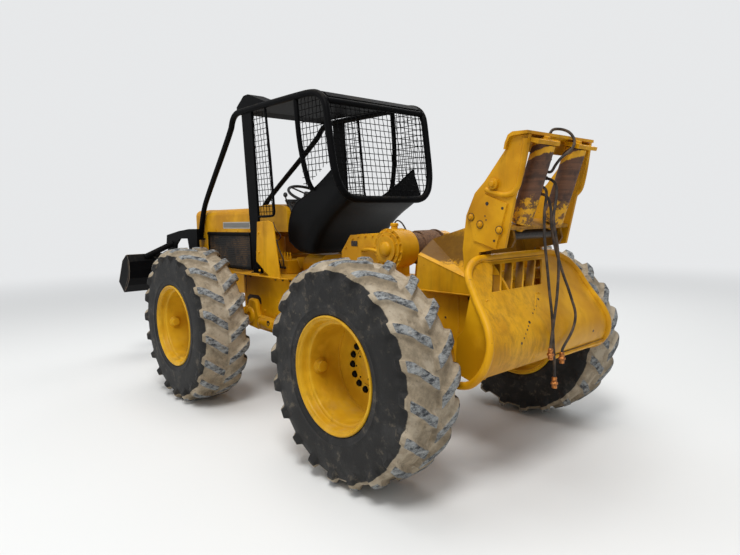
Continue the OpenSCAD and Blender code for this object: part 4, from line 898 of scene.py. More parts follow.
SCREEN_ROUTE = [
    (-1.708, 0.515, 1.985), (-1.692, 0.549, 2.090), (-1.650, 0.555, 2.370), (-1.625, 0.555, 2.560),
    (-1.608, 0.555, 2.620), (-1.570, 0.555, 2.672), (-1.510, 0.555, 2.706), (-1.430, 0.555, 2.724),
    (-1.265, 0.555, 2.732), (-0.266, 0.555, 2.744), (-0.190, 0.551, 2.738), (-0.125, 0.545, 2.712),
    (-0.075, 0.537, 2.668), (-0.030, 0.528, 2.600), (0.850, 0.400, 1.960), (0.970, 0.385, 1.830),
    (1.025, 0.385, 1.700), (1.085, 0.385, 1.519)]
LOW_LOOP = [(-1.708, 0.515, 1.985), (-1.714, 0.495, 1.945), (-1.719, 0.450, 1.898), (-1.722, 0.395, 1.875),
            (-1.723, 0.325, 1.865)]
BRACE = [(-1.206, 0.555, 2.71), (-1.238, 0.555, 2.35), (-1.262, 0.50, 2.04), (-1.272, 0.458, 1.966)]
POST = [(-0.480, 2.725), (-0.300, 2.725), (-0.410, 1.2), (-0.560, 1.2)]


class SKIDDER_OT_canopy(bpy.types.Operator):
    """Bends the canopy's tubes and sets its flat posts, feet and weld seams"""
    bl_idname = "skidder.canopy"
    bl_label = "Canopy"

    def execute(self, context):
        soup, r = Soup(), 0.029
        for s in (1, -1):
            tube(rounded([F(x, s * y, z) for x, y, z in SCREEN_ROUTE]), r, 20, soup=soup)
            tube(rounded([F(x, s * y, z) for x, y, z in BRACE]), 0.022, 16, soup=soup)
            slab(soup, POST, 0.026, on_side(s, 0.534), 0.003)
            brick(soup, F(1.030, s * 0.350, 1.5005), F(1.150, s * 0.425, 1.5200))
            for x in (1.045, 1.135):
                bolt(soup, F(x, s * 0.412, 1.520), UP, 0.010, 0.008)
            bead(soup, [F(-0.478, s * 0.562, 2.722), F(-0.302, s * 0.562, 2.722)], 0.006)
            ring(soup, F(1.085, s * 0.385, 1.5215), (0.1, 0, -1), 0.0295, 0.005, 32)
            ring(soup, F(-1.600, s * 0.527, 2.640), LEFT, 0.0255, 0.004, 32)
            for z in (1.26, 1.34):
                bolt(soup, F(-0.50, s * 0.560, z), s * LEFT)
        tube(rounded([F(*p) for p in LOW_LOOP + mirrored(LOW_LOOP)]), r, 20, soup=soup)
        tube([F(-1.6, 0.555, 2.64), F(-1.6, -0.555, 2.64)], 0.025, 16, soup=soup)
        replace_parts(soup.make("canopy_tubes", need("black"), "front", "black_paint", 40), "canopy_frame")
        return {"FINISHED"}


# The bucket's middle line and its rim, in side view from the front axle
SHELL_BACK = [(-1.6935, 1.868), (-1.635, 1.828), (-1.465, 1.739), (-1.330, 1.635), (-1.235, 1.520), (-1.165, 1.400),
              (-1.080, 1.412)]
SHELL_RIM = [(-1.580, 2.140), (-1.370, 2.012), (-1.150, 1.912), (-1.010, 1.868), (-0.910, 1.760), (-0.866, 1.610),
             (-0.890, 1.520)]
SHELL_LIP = [(-1.080, 1.412), (-0.938, 1.488), (-0.948, 1.500), (-1.084, 1.424)]
SHELL_FLAT, SHELL_BEND = 0.34, 0.11  # half width of the flat back, and the curve from it into each side


class SKIDDER_OT_seat(bpy.types.Operator):
    """Rolls the black bucket behind the seat and upholsters the seat's two cushions"""
    bl_idname = "skidder.seat"
    bl_label = "Seat and bucket"

    def execute(self, context):
        soup = Soup()
        back = rounded([(x, 0, z) for x, z in SHELL_BACK])
        rim = rounded([(x, 0, z) for x, z in SHELL_RIM])
        t = np.linspace(0, 1, 9)
        flat = np.stack([np.zeros(7), np.linspace(0, SHELL_FLAT, 7)], 1)
        bend = np.stack([t ** 2, SHELL_FLAT + SHELL_BEND * (2 * t - t ** 2)], 1)
        across = np.concatenate([flat, bend[1:]])
        rows = []
        for c, r in zip(back, rim):
            k = min(0.6, SHELL_BEND / np.linalg.norm(r - c))
            share = np.concatenate([across[:, 0] * k, np.linspace(k, 1, 8)[1:]])
            y = np.concatenate([across[:, 1], np.full(7, SHELL_FLAT + SHELL_BEND)])
            right = np.stack([c[0] + share * (r[0] - c[0]), -y, c[2] + share * (r[2] - c[2])], 1)
            rows.append(np.concatenate([right[::-1], (right * [1, -1, 1])[1:]]))
        out = np.array([[F(*p) for p in row] for row in rows])
        m, n = out.shape[:2]
        nrm = unit(np.cross(np.gradient(out, axis=0), np.gradient(out, axis=1)))
        nrm *= np.sign(np.sum(nrm[m // 2, n // 2] * [1, 0, 1]))
        skin = np.concatenate([out.reshape(-1, 3), (out + nrm * 0.010).reshape(-1, 3)])
        soup.add(skin, np.concatenate([grid(m, n), grid(m, n, flip=True) + m * n]))
        edge, outward = (np.concatenate([v[:, 0], v[-1, 1:-1], v[::-1, -1]]) for v in (out, nrm))
        tube(resample(edge + outward * 0.005, 0.015), 0.0085, 10, soup=soup)
        slab(soup, SHELL_LIP, 0.684, lambda u, v, w: F(u, w - 0.342, v), 0.002)
        obj = soup.make("bucket_shell", need("glossy"), "front", "black_paint", 50)
        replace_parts(obj, "seat_shell")
        pads = Soup()
        cushion(pads, F(-0.975, 0, 1.628), (1, 0, 0.05), (0.232, 0.238, 0.060), 0.018)
        cushion(pads, F(-1.208, 0, 1.795), (0.24, 0, 1), (0.142, 0.236, 0.046), 0.012)
        obj = pads.make("seat_cushions", need("vinyl"), "front", "seat_vinyl", 60)
        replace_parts(obj, "seat")
        base = Soup()
        brick(base, F(-1.150, -0.145, 1.440), F(-0.955, 0.145, 1.575))
        brick(base, F(-1.185, -0.225, 1.560), F(-0.765, 0.225, 1.572))
        for y in (-0.16, 0.16):
            rail = [F(-1.10, y, 1.566), F(-1.26, y, 1.572), F(-1.278, y, 1.62), F(-1.262, y, 1.80)]
            tube(rounded(rail), 0.011, 10, soup=base)
        base.make("seat_base", need("black"), "front", "black_paint")
        return {"FINISHED"}


def cushion(soup, centre, ahead, size, crown):
    """A pad whose plan is |x/a|^5 + |y/b|^5 = k^5 with k = cos(p)^0.42 at the height c sin(p)^0.75, with a
    crowned, pleated face and piping round it. The face looks up, or to the front where ahead points up."""
    a, b, c = size
    ahead = unit(np.array(ahead, float))
    up = np.cross(ahead, LEFT)
    up = up if (up[2] if ahead[0] > 0.9 else up[0]) > 0 else -up
    th = np.arange(120) * TAU / 120
    ph = np.linspace(-math.pi / 2, math.pi / 2, 37)[1:-1]
    edge = (np.abs(np.cos(th)) ** 5 + np.abs(np.sin(th)) ** 5) ** -0.2
    k = np.cos(ph) ** 0.42
    x, y = a * k[:, None] * (edge * np.cos(th)), b * k[:, None] * (edge * np.sin(th))
    z = c * np.sign(np.sin(ph)) * np.abs(np.sin(ph)) ** 0.75
    z = z[:, None] + 0 * x
    top = (z > 0) * (1 - (x / a) ** 2) * (1 - (y / b) ** 2)
    z = z + crown * top - 0.010 * top * np.exp(-(((y / b * 3) % 1 - 0.5) / 0.07) ** 2)

    def place(p, q, r):
        return centre + p[..., None] * ahead + q[..., None] * LEFT + r[..., None] * up

    m, n = x.shape
    v = np.concatenate([place(x, y, z).reshape(-1, 3), [centre + up * (c + crown), centre - up * c]])
    caps = [[(m - 1) * n + j, (m - 1) * n + (j + 1) % n, m * n] for j in range(n)]
    caps += [[(j + 1) % n, j, m * n + 1] for j in range(n)]
    soup.add(v, grid(m, n, False, True), [np.array(f) for f in caps])
    for h in (-0.35, 0.35):
        z0 = np.full(n, h * c)
        tube(place(a * 1.004 * edge * np.cos(th), b * 1.004 * edge * np.sin(th), z0), 0.0042, 6, True, soup)


# The butt plate from the rear axle: its tube's left half, the side wings, the webs behind and the window's
# bars as (y at the top, y at the foot)
BUTT_LOOP = [
    (-0.530, 0.395, 1.446), (-0.536, 0.452, 1.436), (-0.552, 0.512, 1.416), (-0.578, 0.570, 1.386),
    (-0.600, 0.606, 1.350), (-0.640, 0.628, 1.300), (-0.700, 0.642, 1.200), (-0.775, 0.660, 1.100),
    (-0.820, 0.684, 1.030), (-0.846, 0.710, 0.950), (-0.838, 0.735, 0.870), (-0.805, 0.750, 0.800),
    (-0.755, 0.754, 0.748), (-0.700, 0.750, 0.722), (-0.640, 0.745, 0.712)]
BUTT_WING = [(-0.700, 1.195), (-0.650, 1.240), (-0.600, 1.030), (-0.548, 0.973), (-0.540, 0.821), (-0.582, 0.738),
             (-0.660, 0.716), (-0.755, 0.750), (-0.800, 0.802), (-0.835, 0.870), (-0.842, 0.950), (-0.816, 1.028),
             (-0.772, 1.095)]
BUTT_INNER = [(-0.640, 0.722), (-0.640, 1.160), (-0.560, 1.200), (-0.545, 1.400), (-0.605, 1.330), (-0.645, 1.280),
              (-0.700, 1.188), (-0.772, 1.090), (-0.814, 1.025), (-0.838, 0.950), (-0.830, 0.872), (-0.798, 0.806),
              (-0.760, 0.775)]
BUTT_BARS = [(0.216, 0.374), (0.083, 0.258), (-0.049, 0.132), (-0.189, 0.010)]
BUTT_WINDOW = [1.246, 1.402]
BUTT_CREASE = [(0.034, 1.190), (0.150, 1.095), (0.225, 1.000), (0.240, 0.900), (0.211, 0.812)]
BUTT_HOLES = [(0.034, 1.163, 0.009), (0.102, 1.128, 0.006), (0.140, 1.110, 0.005), (0.176, 1.093, 0.006),
              (0.257, 1.049, 0.011), (0.283, 1.030, 0.006), (0.308, 1.011, 0.007), (0.336, 0.990, 0.005),
              (0.360, 0.969, 0.006), (0.392, 0.942, 0.009), (-0.507, 0.885, 0.010)]
BUTT_SCABS = [[(-0.024, 1.195), (-0.004, 1.203), (0.018, 1.198)], [(0.530, 1.208), (0.545, 1.212), (0.556, 1.205)]]


class SKIDDER_OT_butt_plate(bpy.types.Operator):
    """Bends the butt plate in its tube loop, with the barred window, weld beads, holes and bottom lip"""
    bl_idname = "skidder.butt_plate"
    bl_label = "Butt plate"

    def execute(self, context):
        soup, marks, bars = Soup(), Soup(), Soup()
        loop = rounded([P(*p) for p in mirrored(BUTT_LOOP) + BUTT_LOOP])
        tube(resample(loop, 0.018), 0.024, 24, soup=soup)
        prof = rounded([(x, 0, z) for x, _, z in BUTT_LOOP[:12]] + [(-0.790, 0, 0.775)])[::-1]
        sill, head = BUTT_WINDOW
        z = np.unique(np.concatenate([np.linspace(0.775, sill, 26), np.linspace(sill, head, 9), [1.43, 1.446]]))
        x = np.interp(z, prof[:, 2], prof[:, 0])
        half = np.array([(b, c) for _, b, c in BUTT_LOOP[:12]])[::-1]
        wide = np.interp(z, half[:, 1], half[:, 0]) * (1 - 0.25 * np.clip((z - 1.436) / 0.01, 0, 1))
        left = np.minimum(np.interp(z, BUTT_WINDOW, [0.466, 0.308]), wide - 0.01)
        right = np.interp(z, BUTT_WINDOW, [-0.105, -0.268])
        cols = []
        for lo, hi, n in ((-wide, right, 12), (right, left, 12), (left, wide, 6)):
            f = np.linspace(0, 1, n + 1)[None, :]
            cols.append(lo[:, None] * (1 - f) + hi[:, None] * f)
        y = np.concatenate([cols[0], cols[1][:, 1:], cols[2][:, 1:]], 1)
        m, n = y.shape
        face = np.stack([x[:, None] + 0 * y - MID, y, z[:, None] + 0 * y], -1)
        # the window is left out of the grid, and its rim is closed between the two faces
        first, last = 12, 24
        q = grid(m, n)
        row, col = q[:, 0] // n, q[:, 0] % n
        hole = (z[row] > sill - 1e-4) & (z[q[:, 2] // n] < head + 1e-4) & (col >= first) & (col < last)
        inner = face + [0.014, 0, 0]
        i0, i1 = (int(np.argmin(abs(z - c))) for c in BUTT_WINDOW)
        rim = [i0 * n + j for j in range(first, last + 1)] + [i * n + last for i in range(i0 + 1, i1 + 1)]
        rim += [i1 * n + j for j in range(last - 1, first - 1, -1)] + [i * n + first for i in range(i1 - 1, i0, -1)]
        rim = np.array(rim)
        nxt = np.roll(rim, -1)
        cut = np.stack([rim, nxt, nxt + m * n, rim + m * n], 1)
        soup.add(np.concatenate([face.reshape(-1, 3), inner.reshape(-1, 3)]),
                 np.concatenate([q[~hole][:, ::-1], q[~hole] + m * n, cut]), mark=1.0)

        def on_face(b, c, out=0.0):
            """The point at (y, z) on the plate's face, out in front of it."""
            return np.array([np.interp(c, z, x) - MID - out, b, c])

        for top, foot in BUTT_BARS:
            h = np.linspace(1.238, 1.410, 9)
            at = np.interp(h, BUTT_WINDOW, [foot, top])
            for part, e0, e1 in ((soup, 0.0, 0.005), (bars, 0.005, 0.060)):
                corners = ((e0, -1), (e0, 1), (e1, 1), (e1, -1))
                bar = [[on_face(b + w * 0.0055, c, -e) for e, w in corners] for b, c in zip(at, h)]
                part.add(np.array(bar), grid(9, 4, False, True), [np.arange(4)[::-1], 32 + np.arange(4)])
        for s in (1, -1):
            slab(soup, BUTT_WING, 0.014, on_side(s, 0.636, P), 0.002)
            slab(soup, BUTT_INNER, 0.020, on_side(s, 0.270, P))
            path = [P(a + 0.004, s * (b - 0.026), c) for a, b, c in BUTT_LOOP[3:12]]
            bead(soup, rounded(path, 2), 0.0055, 0.009)
        bead(soup, [P(-0.548, 0.39, 1.424), P(-0.548, 0.0, 1.424), P(-0.548, -0.39, 1.424)], 0.0050, 0.009)
        tube([P(-0.786, -0.060, 0.766), P(-0.786, -0.738, 0.766)], 0.016, 16, soup=soup)
        bead(soup, [P(-0.796, -0.06, 0.781), P(-0.806, -0.72, 0.785)], 0.0035, 0.008)
        bars.make("window_bars", need("shaded"), "rear", "yellow_paint")
        tube(resample(rounded([on_face(b, c, 0.0005) for b, c in BUTT_CREASE], 2), 0.02), 0.0030, 6, soup=soup)
        tube([P(-0.800, -0.02, 0.7835), P(-0.803, -0.40, 0.7845), P(-0.806, -0.735, 0.7875)], 0.0024, 6, soup=marks)
        tube([P(-0.5485, b, 1.4290) for b in (0.36, 0.0, -0.36)], 0.0016, 6, soup=marks)
        for b, c, r in BUTT_HOLES:
            out = unit(np.cross(on_face(b, c + 0.01) - on_face(b, c - 0.01), LEFT))
            turned([(r, -0.001), (r * 0.9, 0.0012), (r * 0.55, 0.0010), (0, 0.0004)], on_face(b, c),
                   out if out[0] < 0 else -out, 14, marks)
        for points in BUTT_SCABS:
            tube([on_face(b, c, 0.002) for b, c in points], 0.0042, 8, soup=soup)
        obj = soup.make("butt_plate_welded", need("plate"), "rear", "yellow_paint", 40)
        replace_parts(obj, "butt_plate")
        marks.make("butt_plate_holes", need("dark"), "rear", "bare_steel")
        return {"FINISHED"}


DRUM_X, DRUM_Z = 0.4, 1.475
CASE_BOLTS = [(0.850, 1.545), (0.775, 1.568), (0.688, 1.572), (0.600, 1.575), (0.940, 1.470), (0.965, 1.340),
              (0.930, 1.255)]
CASE_PIPE = [(0.735, 0.296, 1.452), (0.700, 0.322, 1.462), (0.600, 0.330, 1.471), (0.500, 0.334, 1.455),
             (0.452, 0.330, 1.425)]
BREATHER = [(0.47, 0.18, 1.59), (0.46, 0.20, 1.665), (0.41, 0.21, 1.700), (0.36, 0.20, 1.670), (0.345, 0.17, 1.60)]
CASE_CIRCLES = [  # bolts, share of a pitch to the first, circle, y, head's radius and height
    (14, 0.3, 0.1445, 0.322, 0.0085, 0.007), (8, 0.5, 0.116, 0.336, 0.006, 0.005)]
CASE_FILLER = [(0.030, 0.0), (0.032, 0.004), (0.032, 0.018), (0.026, 0.024), (0, 0.026)]
ROPE_LAYERS = [(0.1130, -0.188, 0.104, 1), (0.1275, -0.180, 0.02, -1)]  # radius, from y, to y, hand


class SKIDDER_OT_winch(bpy.types.Operator):
    """Adds the gear case's bolts, dome, pipe and filler, and winds the drum with wire rope"""
    bl_idname = "skidder.winch"
    bl_label = "Winch"

    def execute(self, context):
        soup, dark = Soup(), Soup()
        for count, turn, r, y, *head in CASE_CIRCLES:
            for k in range(count):
                bolt(soup, P(DRUM_X, y, DRUM_Z) + spoke(r, TAU * (k + turn) / count), LEFT, *head)
        ring(soup, P(DRUM_X, 0.3215, DRUM_Z), LEFT, 0.1555, 0.0030, 80)
        ring(soup, P(DRUM_X, 0.3355, DRUM_Z), LEFT, 0.1305, 0.0025, 80)
        turned([(0.060, 0), (0.058, 0.010), (0.049, 0.020), (0.028, 0.027), (0, 0.029)], P(DRUM_X, 0.3515, DRUM_Z),
               LEFT, 36, soup)
        for x, z in CASE_BOLTS:
            bolt(soup, P(x, 0.300, z), LEFT, 0.0095, 0.008)
        tube(rounded([P(*p) for p in CASE_PIPE]), 0.0135, 14, soup=soup)
        bead(soup, [P(x, 0.226, z) for x, z in ((0.332, 1.603), (0.880, 1.578), (1.0, 1.44), (1.0, 1.30))], 0.004)
        brick(soup, P(0.700, 0.05, 1.4995), P(0.880, 0.20, 1.512))
        for x in (0.72, 0.79, 0.86):
            for y in (0.07, 0.18):
                bolt(soup, P(x, y, 1.512), UP, 0.008, 0.006)
        turned(CASE_FILLER, P(0.39, 0.262, 1.650), UP, 28, soup)
        slab(dark, rect(0.789, 0.867, 1.487, 1.530), 0.006, on_side(1, 0.2985, P), 0.002)
        tube(rounded([P(*p) for p in BREATHER]), 0.0060, 8, soup=dark)
        for k in range(10):
            a = TAU * k / 10
            bolt(dark, P(DRUM_X + 0.125 * math.cos(a), -0.300, DRUM_Z + 0.09 * math.sin(a)), -LEFT, 0.008, 0.007)
        soup.make("winch_fittings", need("oily"), "rear", "yellow_paint")
        dark.make("winch_dark_fittings", need("dark"), "rear", "bare_steel")
        rope = Soup()
        for r, lo, hi, hand in ROPE_LAYERS:
            turns = (hi - lo) / 0.0172
            a = np.linspace(0, TAU * turns, int(26 * turns))
            helix = [DRUM_X - MID + r * np.cos(a), lo + (hi - lo) * a / a[-1], DRUM_Z + hand * r * np.sin(a)]
            tube(np.stack(helix, 1), 0.0085, 6, soup=rope)
        rope.make("winch_rope", need("rope"), "drum", "bare_steel", 60)
        return {"FINISHED"}


LEG_BEAD = [(-0.844, 2.165), (-0.828, 2.040), (-0.808, 1.935), (-0.790, 1.878), (-0.752, 1.845), (-0.700, 1.838),
            (-0.640, 1.850), (-0.560, 1.880)]
POCKET_PLATE = [(-0.470, 1.560), (-0.640, 1.508), (-0.722, 1.785), (-0.560, 1.850), (-0.505, 1.800), (-0.440, 1.690)]
POCKET_HOLES = [(-0.575, 1.792, 0.012), (-0.690, 1.760, 0.009), (-0.560, 1.715, 0.005), (-0.568, 1.690, 0.005),
                (-0.630, 1.560, 0.008)]
LEG_PIN = [(0.0345, -0.002), (0.0345, 0.001), (0.030, 0.004), (0.019, 0.004), (0.018, 0.016), (0.014, 0.019),
           (0, 0.019)]
LEG_Y = 0.384


class SKIDDER_OT_arch(bpy.types.Operator):
    """Adds the arch's rolled edges, bolts, pins, holes and weld seams, and the rollers' pin nuts"""
    bl_idname = "skidder.arch"
    bl_label = "Arch and fairlead"

    def execute(self, context):
        soup, dark = Soup(), Soup()
        for s in (1, -1):
            out = s * LEFT
            tube(rounded([P(x, s * 0.374, z) for x, z in LEG_BEAD]), 0.0165, 14, soup=soup)
            for x, z in ((-0.450, 1.710), (-0.522, 1.662), (-0.668, 1.627)):
                at = P(x, s * LEG_Y, z)
                turned([(0.0235, -0.001), (0.0235, 0.003), (0.020, 0.0045)], at, out, 18, soup)
                # a dark ring round each washer: painted shade in the crevice, with some grime
                ring(dark, P(x, s * 0.3872, z), out, 0.0245, 0.0022, 24, 6)
                turned([(0.0155, 0.004), (0.0155, 0.011), (0.012, 0.015), (0, 0.0155)], at, out, 16, soup)
            turned(LEG_PIN, P(-0.622, s * 0.392, 1.912), out, 28, soup)
            for x, z, r in POCKET_HOLES:
                turned([(r, -0.001), (r, 0.0012), (0, 0.0010)], P(x, s * 0.3842, z), out, 14, dark)
            for y, r, ripple, line in ((0.3735, 0.0042, 0.008, POCKET_PLATE + POCKET_PLATE[:1]),
                                       (0.379, 0.005, 0.009, [(0.06, 1.198), (-0.45, 1.198)]),
                                       (0.378, 0.0035, 0.009, [(0.03, 1.450), (-0.43, 1.302)]),
                                       (0.349, 0.0045, 0.009, [(-0.420, 1.69), (-0.445, 1.80), (-0.520, 1.90)])):
                bead(soup, [P(x, s * y, z) for x, z in line], r, ripple)
            for end in (0.2825, -0.2865):
                at = lean_at(0, s * 0.188, end)
                up = (lean_at(0, 0, 1) - lean_at(0, 0, 0)) * (1 if end > 0 else -1)
                turned([(0.036, -0.003), (0.036, 0.001), (0.033, 0.003)], at, up, 24, soup)
                turned([(0.026, 0.003), (0.026, 0.014), (0.021, 0.018)], at, up, 6, soup)
            bolt(dark, P(-0.655, s * 0.2925, 1.590), out, 0.016, 0.010)
            bead(soup, [lean_at(-0.055, s * 0.116, 0.2815), lean_at(0.044, s * 0.116, 0.2815)], 0.004, 0.008)
        back = lean_at(-1, 0, 0) - lean_at(0, 0, 0)
        for z in (0.025, 0.155, -0.145):
            for y in (-0.028, 0.028):
                bolt(dark, lean_at(0.0595, y, z), back, 0.007, 0.006)
        soup.make("arch_fittings", need("oily"), "rear", "yellow_paint")
        dark.make("arch_holes", need("dark"), "rear", "bare_steel")
        return {"FINISHED"}


class SKIDDER_OT_hood(bpy.types.Operator):
    """Adds the hood's perforated side panels with their rims, its blank plates, bolts and seams"""
    bl_idname = "skidder.hood"
    bl_label = "Hood"

    def execute(self, context):
        panels, rims, plates, soup = Soup(), Soup(), Soup(), Soup()
        for s in (1, -1):
            out = s * LEFT
            slab(panels, rect(-0.024, 0.956, 1.206, 1.586), 0.008, on_side(s, 0.338))
            edge = rect(-0.012, 0.944, 1.218, 1.572)
            for (x0, z0), (x1, z1) in zip(edge, edge[1:] + edge[:1]):
                wide = 0.021 if z0 == z1 == 1.572 else 0.013
                tube([F(x0, s * 0.346, z0), F(x1, s * 0.346, z1)], wide, 12, soup=rims)
                turned(ball(wide, wide, 7), F(x0, s * 0.346, z0), out, 12, rims)
            slab(plates, rect(-0.012, 0.574, 1.630, 1.700), 0.003, on_side(s, 0.3495), 0.001)
            slab(plates, rect(-0.002, 0.564, 1.640, 1.690), 0.0016, on_side(s, 0.3520), 0.0006, 1.0)
            for x in (-0.005, 0.567):
                turned([(0.004, 0), (0.003, 0.002), (0, 0.0025)], F(x, s * 0.3525, 1.665), out, 10, plates)
            for x in (0.02, 0.25, 0.50, 0.75, 0.93):
                bolt(soup, F(x, s * 0.350, 1.607), out, 0.007, 0.005)
            for z in (1.24, 1.50, 1.72):
                bolt(soup, F(1.12, s * 0.350, z), out, 0.008, 0.006)
            bead(soup, [F(0.965, s * 0.351, 1.21), F(0.965, s * 0.351, 1.585)], 0.003, 0.012)
        a = np.linspace(0, math.pi / 2, 7)
        line = [(0.351, 1.60), *zip(0.281 + 0.070 * np.cos(a), 1.771 + 0.070 * np.sin(a))]
        line = line + [(-y, z) for y, z in line[::-1]]
        for x in (-0.026, 1.020):
            tube([F(x, y, z) for y, z in line], 0.0032, 6, soup=soup)
        obj = panels.make("side_panels_perforated", need("perforated"), "front", "black_paint", 30)
        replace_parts(obj, "side_screens")
        rims.make("side_panel_rims", need("black"), "front", "black_paint")
        plates.make("blank_plates", need("plate_metal"), "front", "bare_steel")
        soup.make("hood_fittings", need("yellow"), "front", "yellow_paint")
        return {"FINISHED"}


LEVERS = [  # foot x, y, z, then top x, y, z from the front axle
    (-0.62, -0.26, 1.70, -0.70, -0.30, 2.02), (-0.62, -0.21, 1.70, -0.69, -0.24, 2.00),
    (-0.62, -0.16, 1.70, -0.68, -0.18, 1.98), (-0.60, 0.27, 1.66, -0.66, 0.33, 1.93)]


GAUGES = [(-0.22, 0.032), (-0.13, 0.032), (0.04, 0.045), (0.15, 0.032), (0.235, 0.032)]  # y and radius
VALVE_PIPES = [  # radius and route
    (0.0035, [(-0.442, 0.336, 1.695), (-0.52, 0.370, 1.630), (-0.625, 0.360, 1.560), (-0.56, 0.372, 1.510),
              (-0.447, 0.336, 1.490)]),
    (0.0065, [(-0.665, 0.378, 1.262), (-0.70, 0.400, 1.340), (-0.60, 0.395, 1.46), (-0.50, 0.345, 1.52)]),
    (0.0065, [(-0.617, 0.378, 1.262), (-0.64, 0.410, 1.330), (-0.54, 0.400, 1.42), (-0.45, 0.336, 1.43)]),
    (0.0065, [(-0.569, 0.378, 1.262), (-0.56, 0.410, 1.300), (-0.48, 0.390, 1.36), (-0.42, 0.336, 1.36)])]
CANISTER = [(0.075, 0), (0.078, 0.01), (0.078, 0.19), (0.070, 0.20), (0, 0.202)]
TANK_CAP = [(0.045, -0.004), (0.045, 0.022), (0.040, 0.028), (0, 0.029)]


class SKIDDER_OT_controls(bpy.types.Operator):
    """Adds the dash with its gauges, levers, pedals, the valve bank, its pipes and the tank's cap"""
    bl_idname = "skidder.controls"
    bl_label = "Controls"

    def execute(self, context):
        black, soup, dark = Soup(), Soup(), Soup()
        tilt = unit(np.array([-0.75, 0, 0.66]))
        slide = np.cross(LEFT, tilt)
        mid = F(-0.640, 0.0, 1.845)
        slab(black, rect(-0.29, 0.29, -0.075, 0.075), 0.030,
             lambda u, v, w: mid + u * LEFT - v * slide + (w - 0.012) * tilt, 0.006)
        for y, r in GAUGES:
            turned([(r, 0), (r, 0.006), (r * 0.9, 0.008), (r * 0.86, 0.004), (0, 0.003)],
                   mid + y * LEFT + tilt * 0.018, tilt, 28, dark)
        for a, b, c, x, y, z in LEVERS:
            tube(rounded([F(a, b, c), F((a + x) / 2, b, (c + z) / 2), F(x, y, z)]), 0.0065, 10, soup=dark)
            turned([(0.022, 0), (0.020, 0.012), (0.008, 0.030)], F(a, b, c), UP, 14, black)
            turned(ball(0.021, 0.024, 9), F(x, y, z + 0.018), UP, 18, black)
        for y in (-0.22, 0.20):
            slab(soup, rect(-0.045, 0.045, -0.060, 0.060), 0.010,
                 lambda u, v, w: F(-0.720 + 0.5 * v + 0.8 * w, y + u, 1.300 + 0.85 * v), 0.003)
            tube([F(-0.72, y, 1.30), F(-0.56, y, 1.215)], 0.009, 8, soup=soup)
        brick(soup, F(-0.700, 0.120, 1.2005), F(-0.480, 0.360, 1.330), 0.006)
        for k in range(4):
            x = -0.665 + 0.048 * k
            turned([(0.014, 0), (0.014, 0.030), (0.008, 0.034), (0.008, 0.075)], F(x, 0.300, 1.329), UP, 14, soup)
            turned([(0.013, 0), (0.013, 0.018), (0.009, 0.020)], F(x, 0.360, 1.262), LEFT, 6, dark)
        for r, line in VALVE_PIPES:
            tube(rounded([F(*q) for q in line]), r, 10, soup=black)
        brick(soup, F(-0.420, -0.328, 1.203), F(-0.255, 0.328, 1.360), 0.006)
        turned(CANISTER, F(-0.345, 0.235, 1.360), UP, 28, soup)
        turned(TANK_CAP, F(-0.975, -0.10, 1.390), UP, 28, soup)
        for s in (1, -1):
            for z in (1.25, 1.42, 1.60):
                bolt(soup, F(-0.60, s * 0.600, z), s * LEFT, 0.009, 0.007)
        soup.make("deck_fittings", need("oily"), "front", "yellow_paint")
        black.make("control_knobs", need("plastic"), "front", "plastic_black")
        dark.make("lever_rods", need("dark"), "front", "bare_steel")
        return {"FINISHED"}


SIDE_PLATE = [(-0.580, 1.700), (-0.780, 1.710), (-0.838, 1.690), (-0.860, 1.650), (-0.940, 1.210), (-0.936, 1.187),
              (-0.790, 1.183), (-0.537, 1.334)]
ANCHOR = [(-0.165, 0.830), (-0.205, 0.872), (-0.250, 0.880), (-0.262, 0.940), (-0.300, 0.956), (-0.395, 0.952),
          (-0.425, 0.915), (-0.428, 0.860), (-0.455, 0.806), (-0.730, 0.790), (-0.752, 0.742), (-0.730, 0.690),
          (-0.470, 0.672), (-0.420, 0.660), (-0.210, 0.682), (-0.165, 0.722)]
ANCHOR_BACK = [(-0.175, 0.955), (-0.215, 0.983), (-0.385, 0.986), (-0.430, 0.960), (-0.436, 0.905), (-0.165, 0.885)]
ANCHOR_HUB = [(0.082, 0), (0.080, 0.010), (0.066, 0.022), (0.040, 0.026), (0.038, 0.012), (0, 0.012)]
ANCHOR_BARREL = [(0.046, -0.010), (0.052, 0.0), (0.052, 0.240), (0.046, 0.250), (0, 0.252)]
ANCHOR_PLUG = [(0.024, 0), (0.024, 0.006), (0.015, 0.007), (0.013, 0.001), (0, 0.001)]


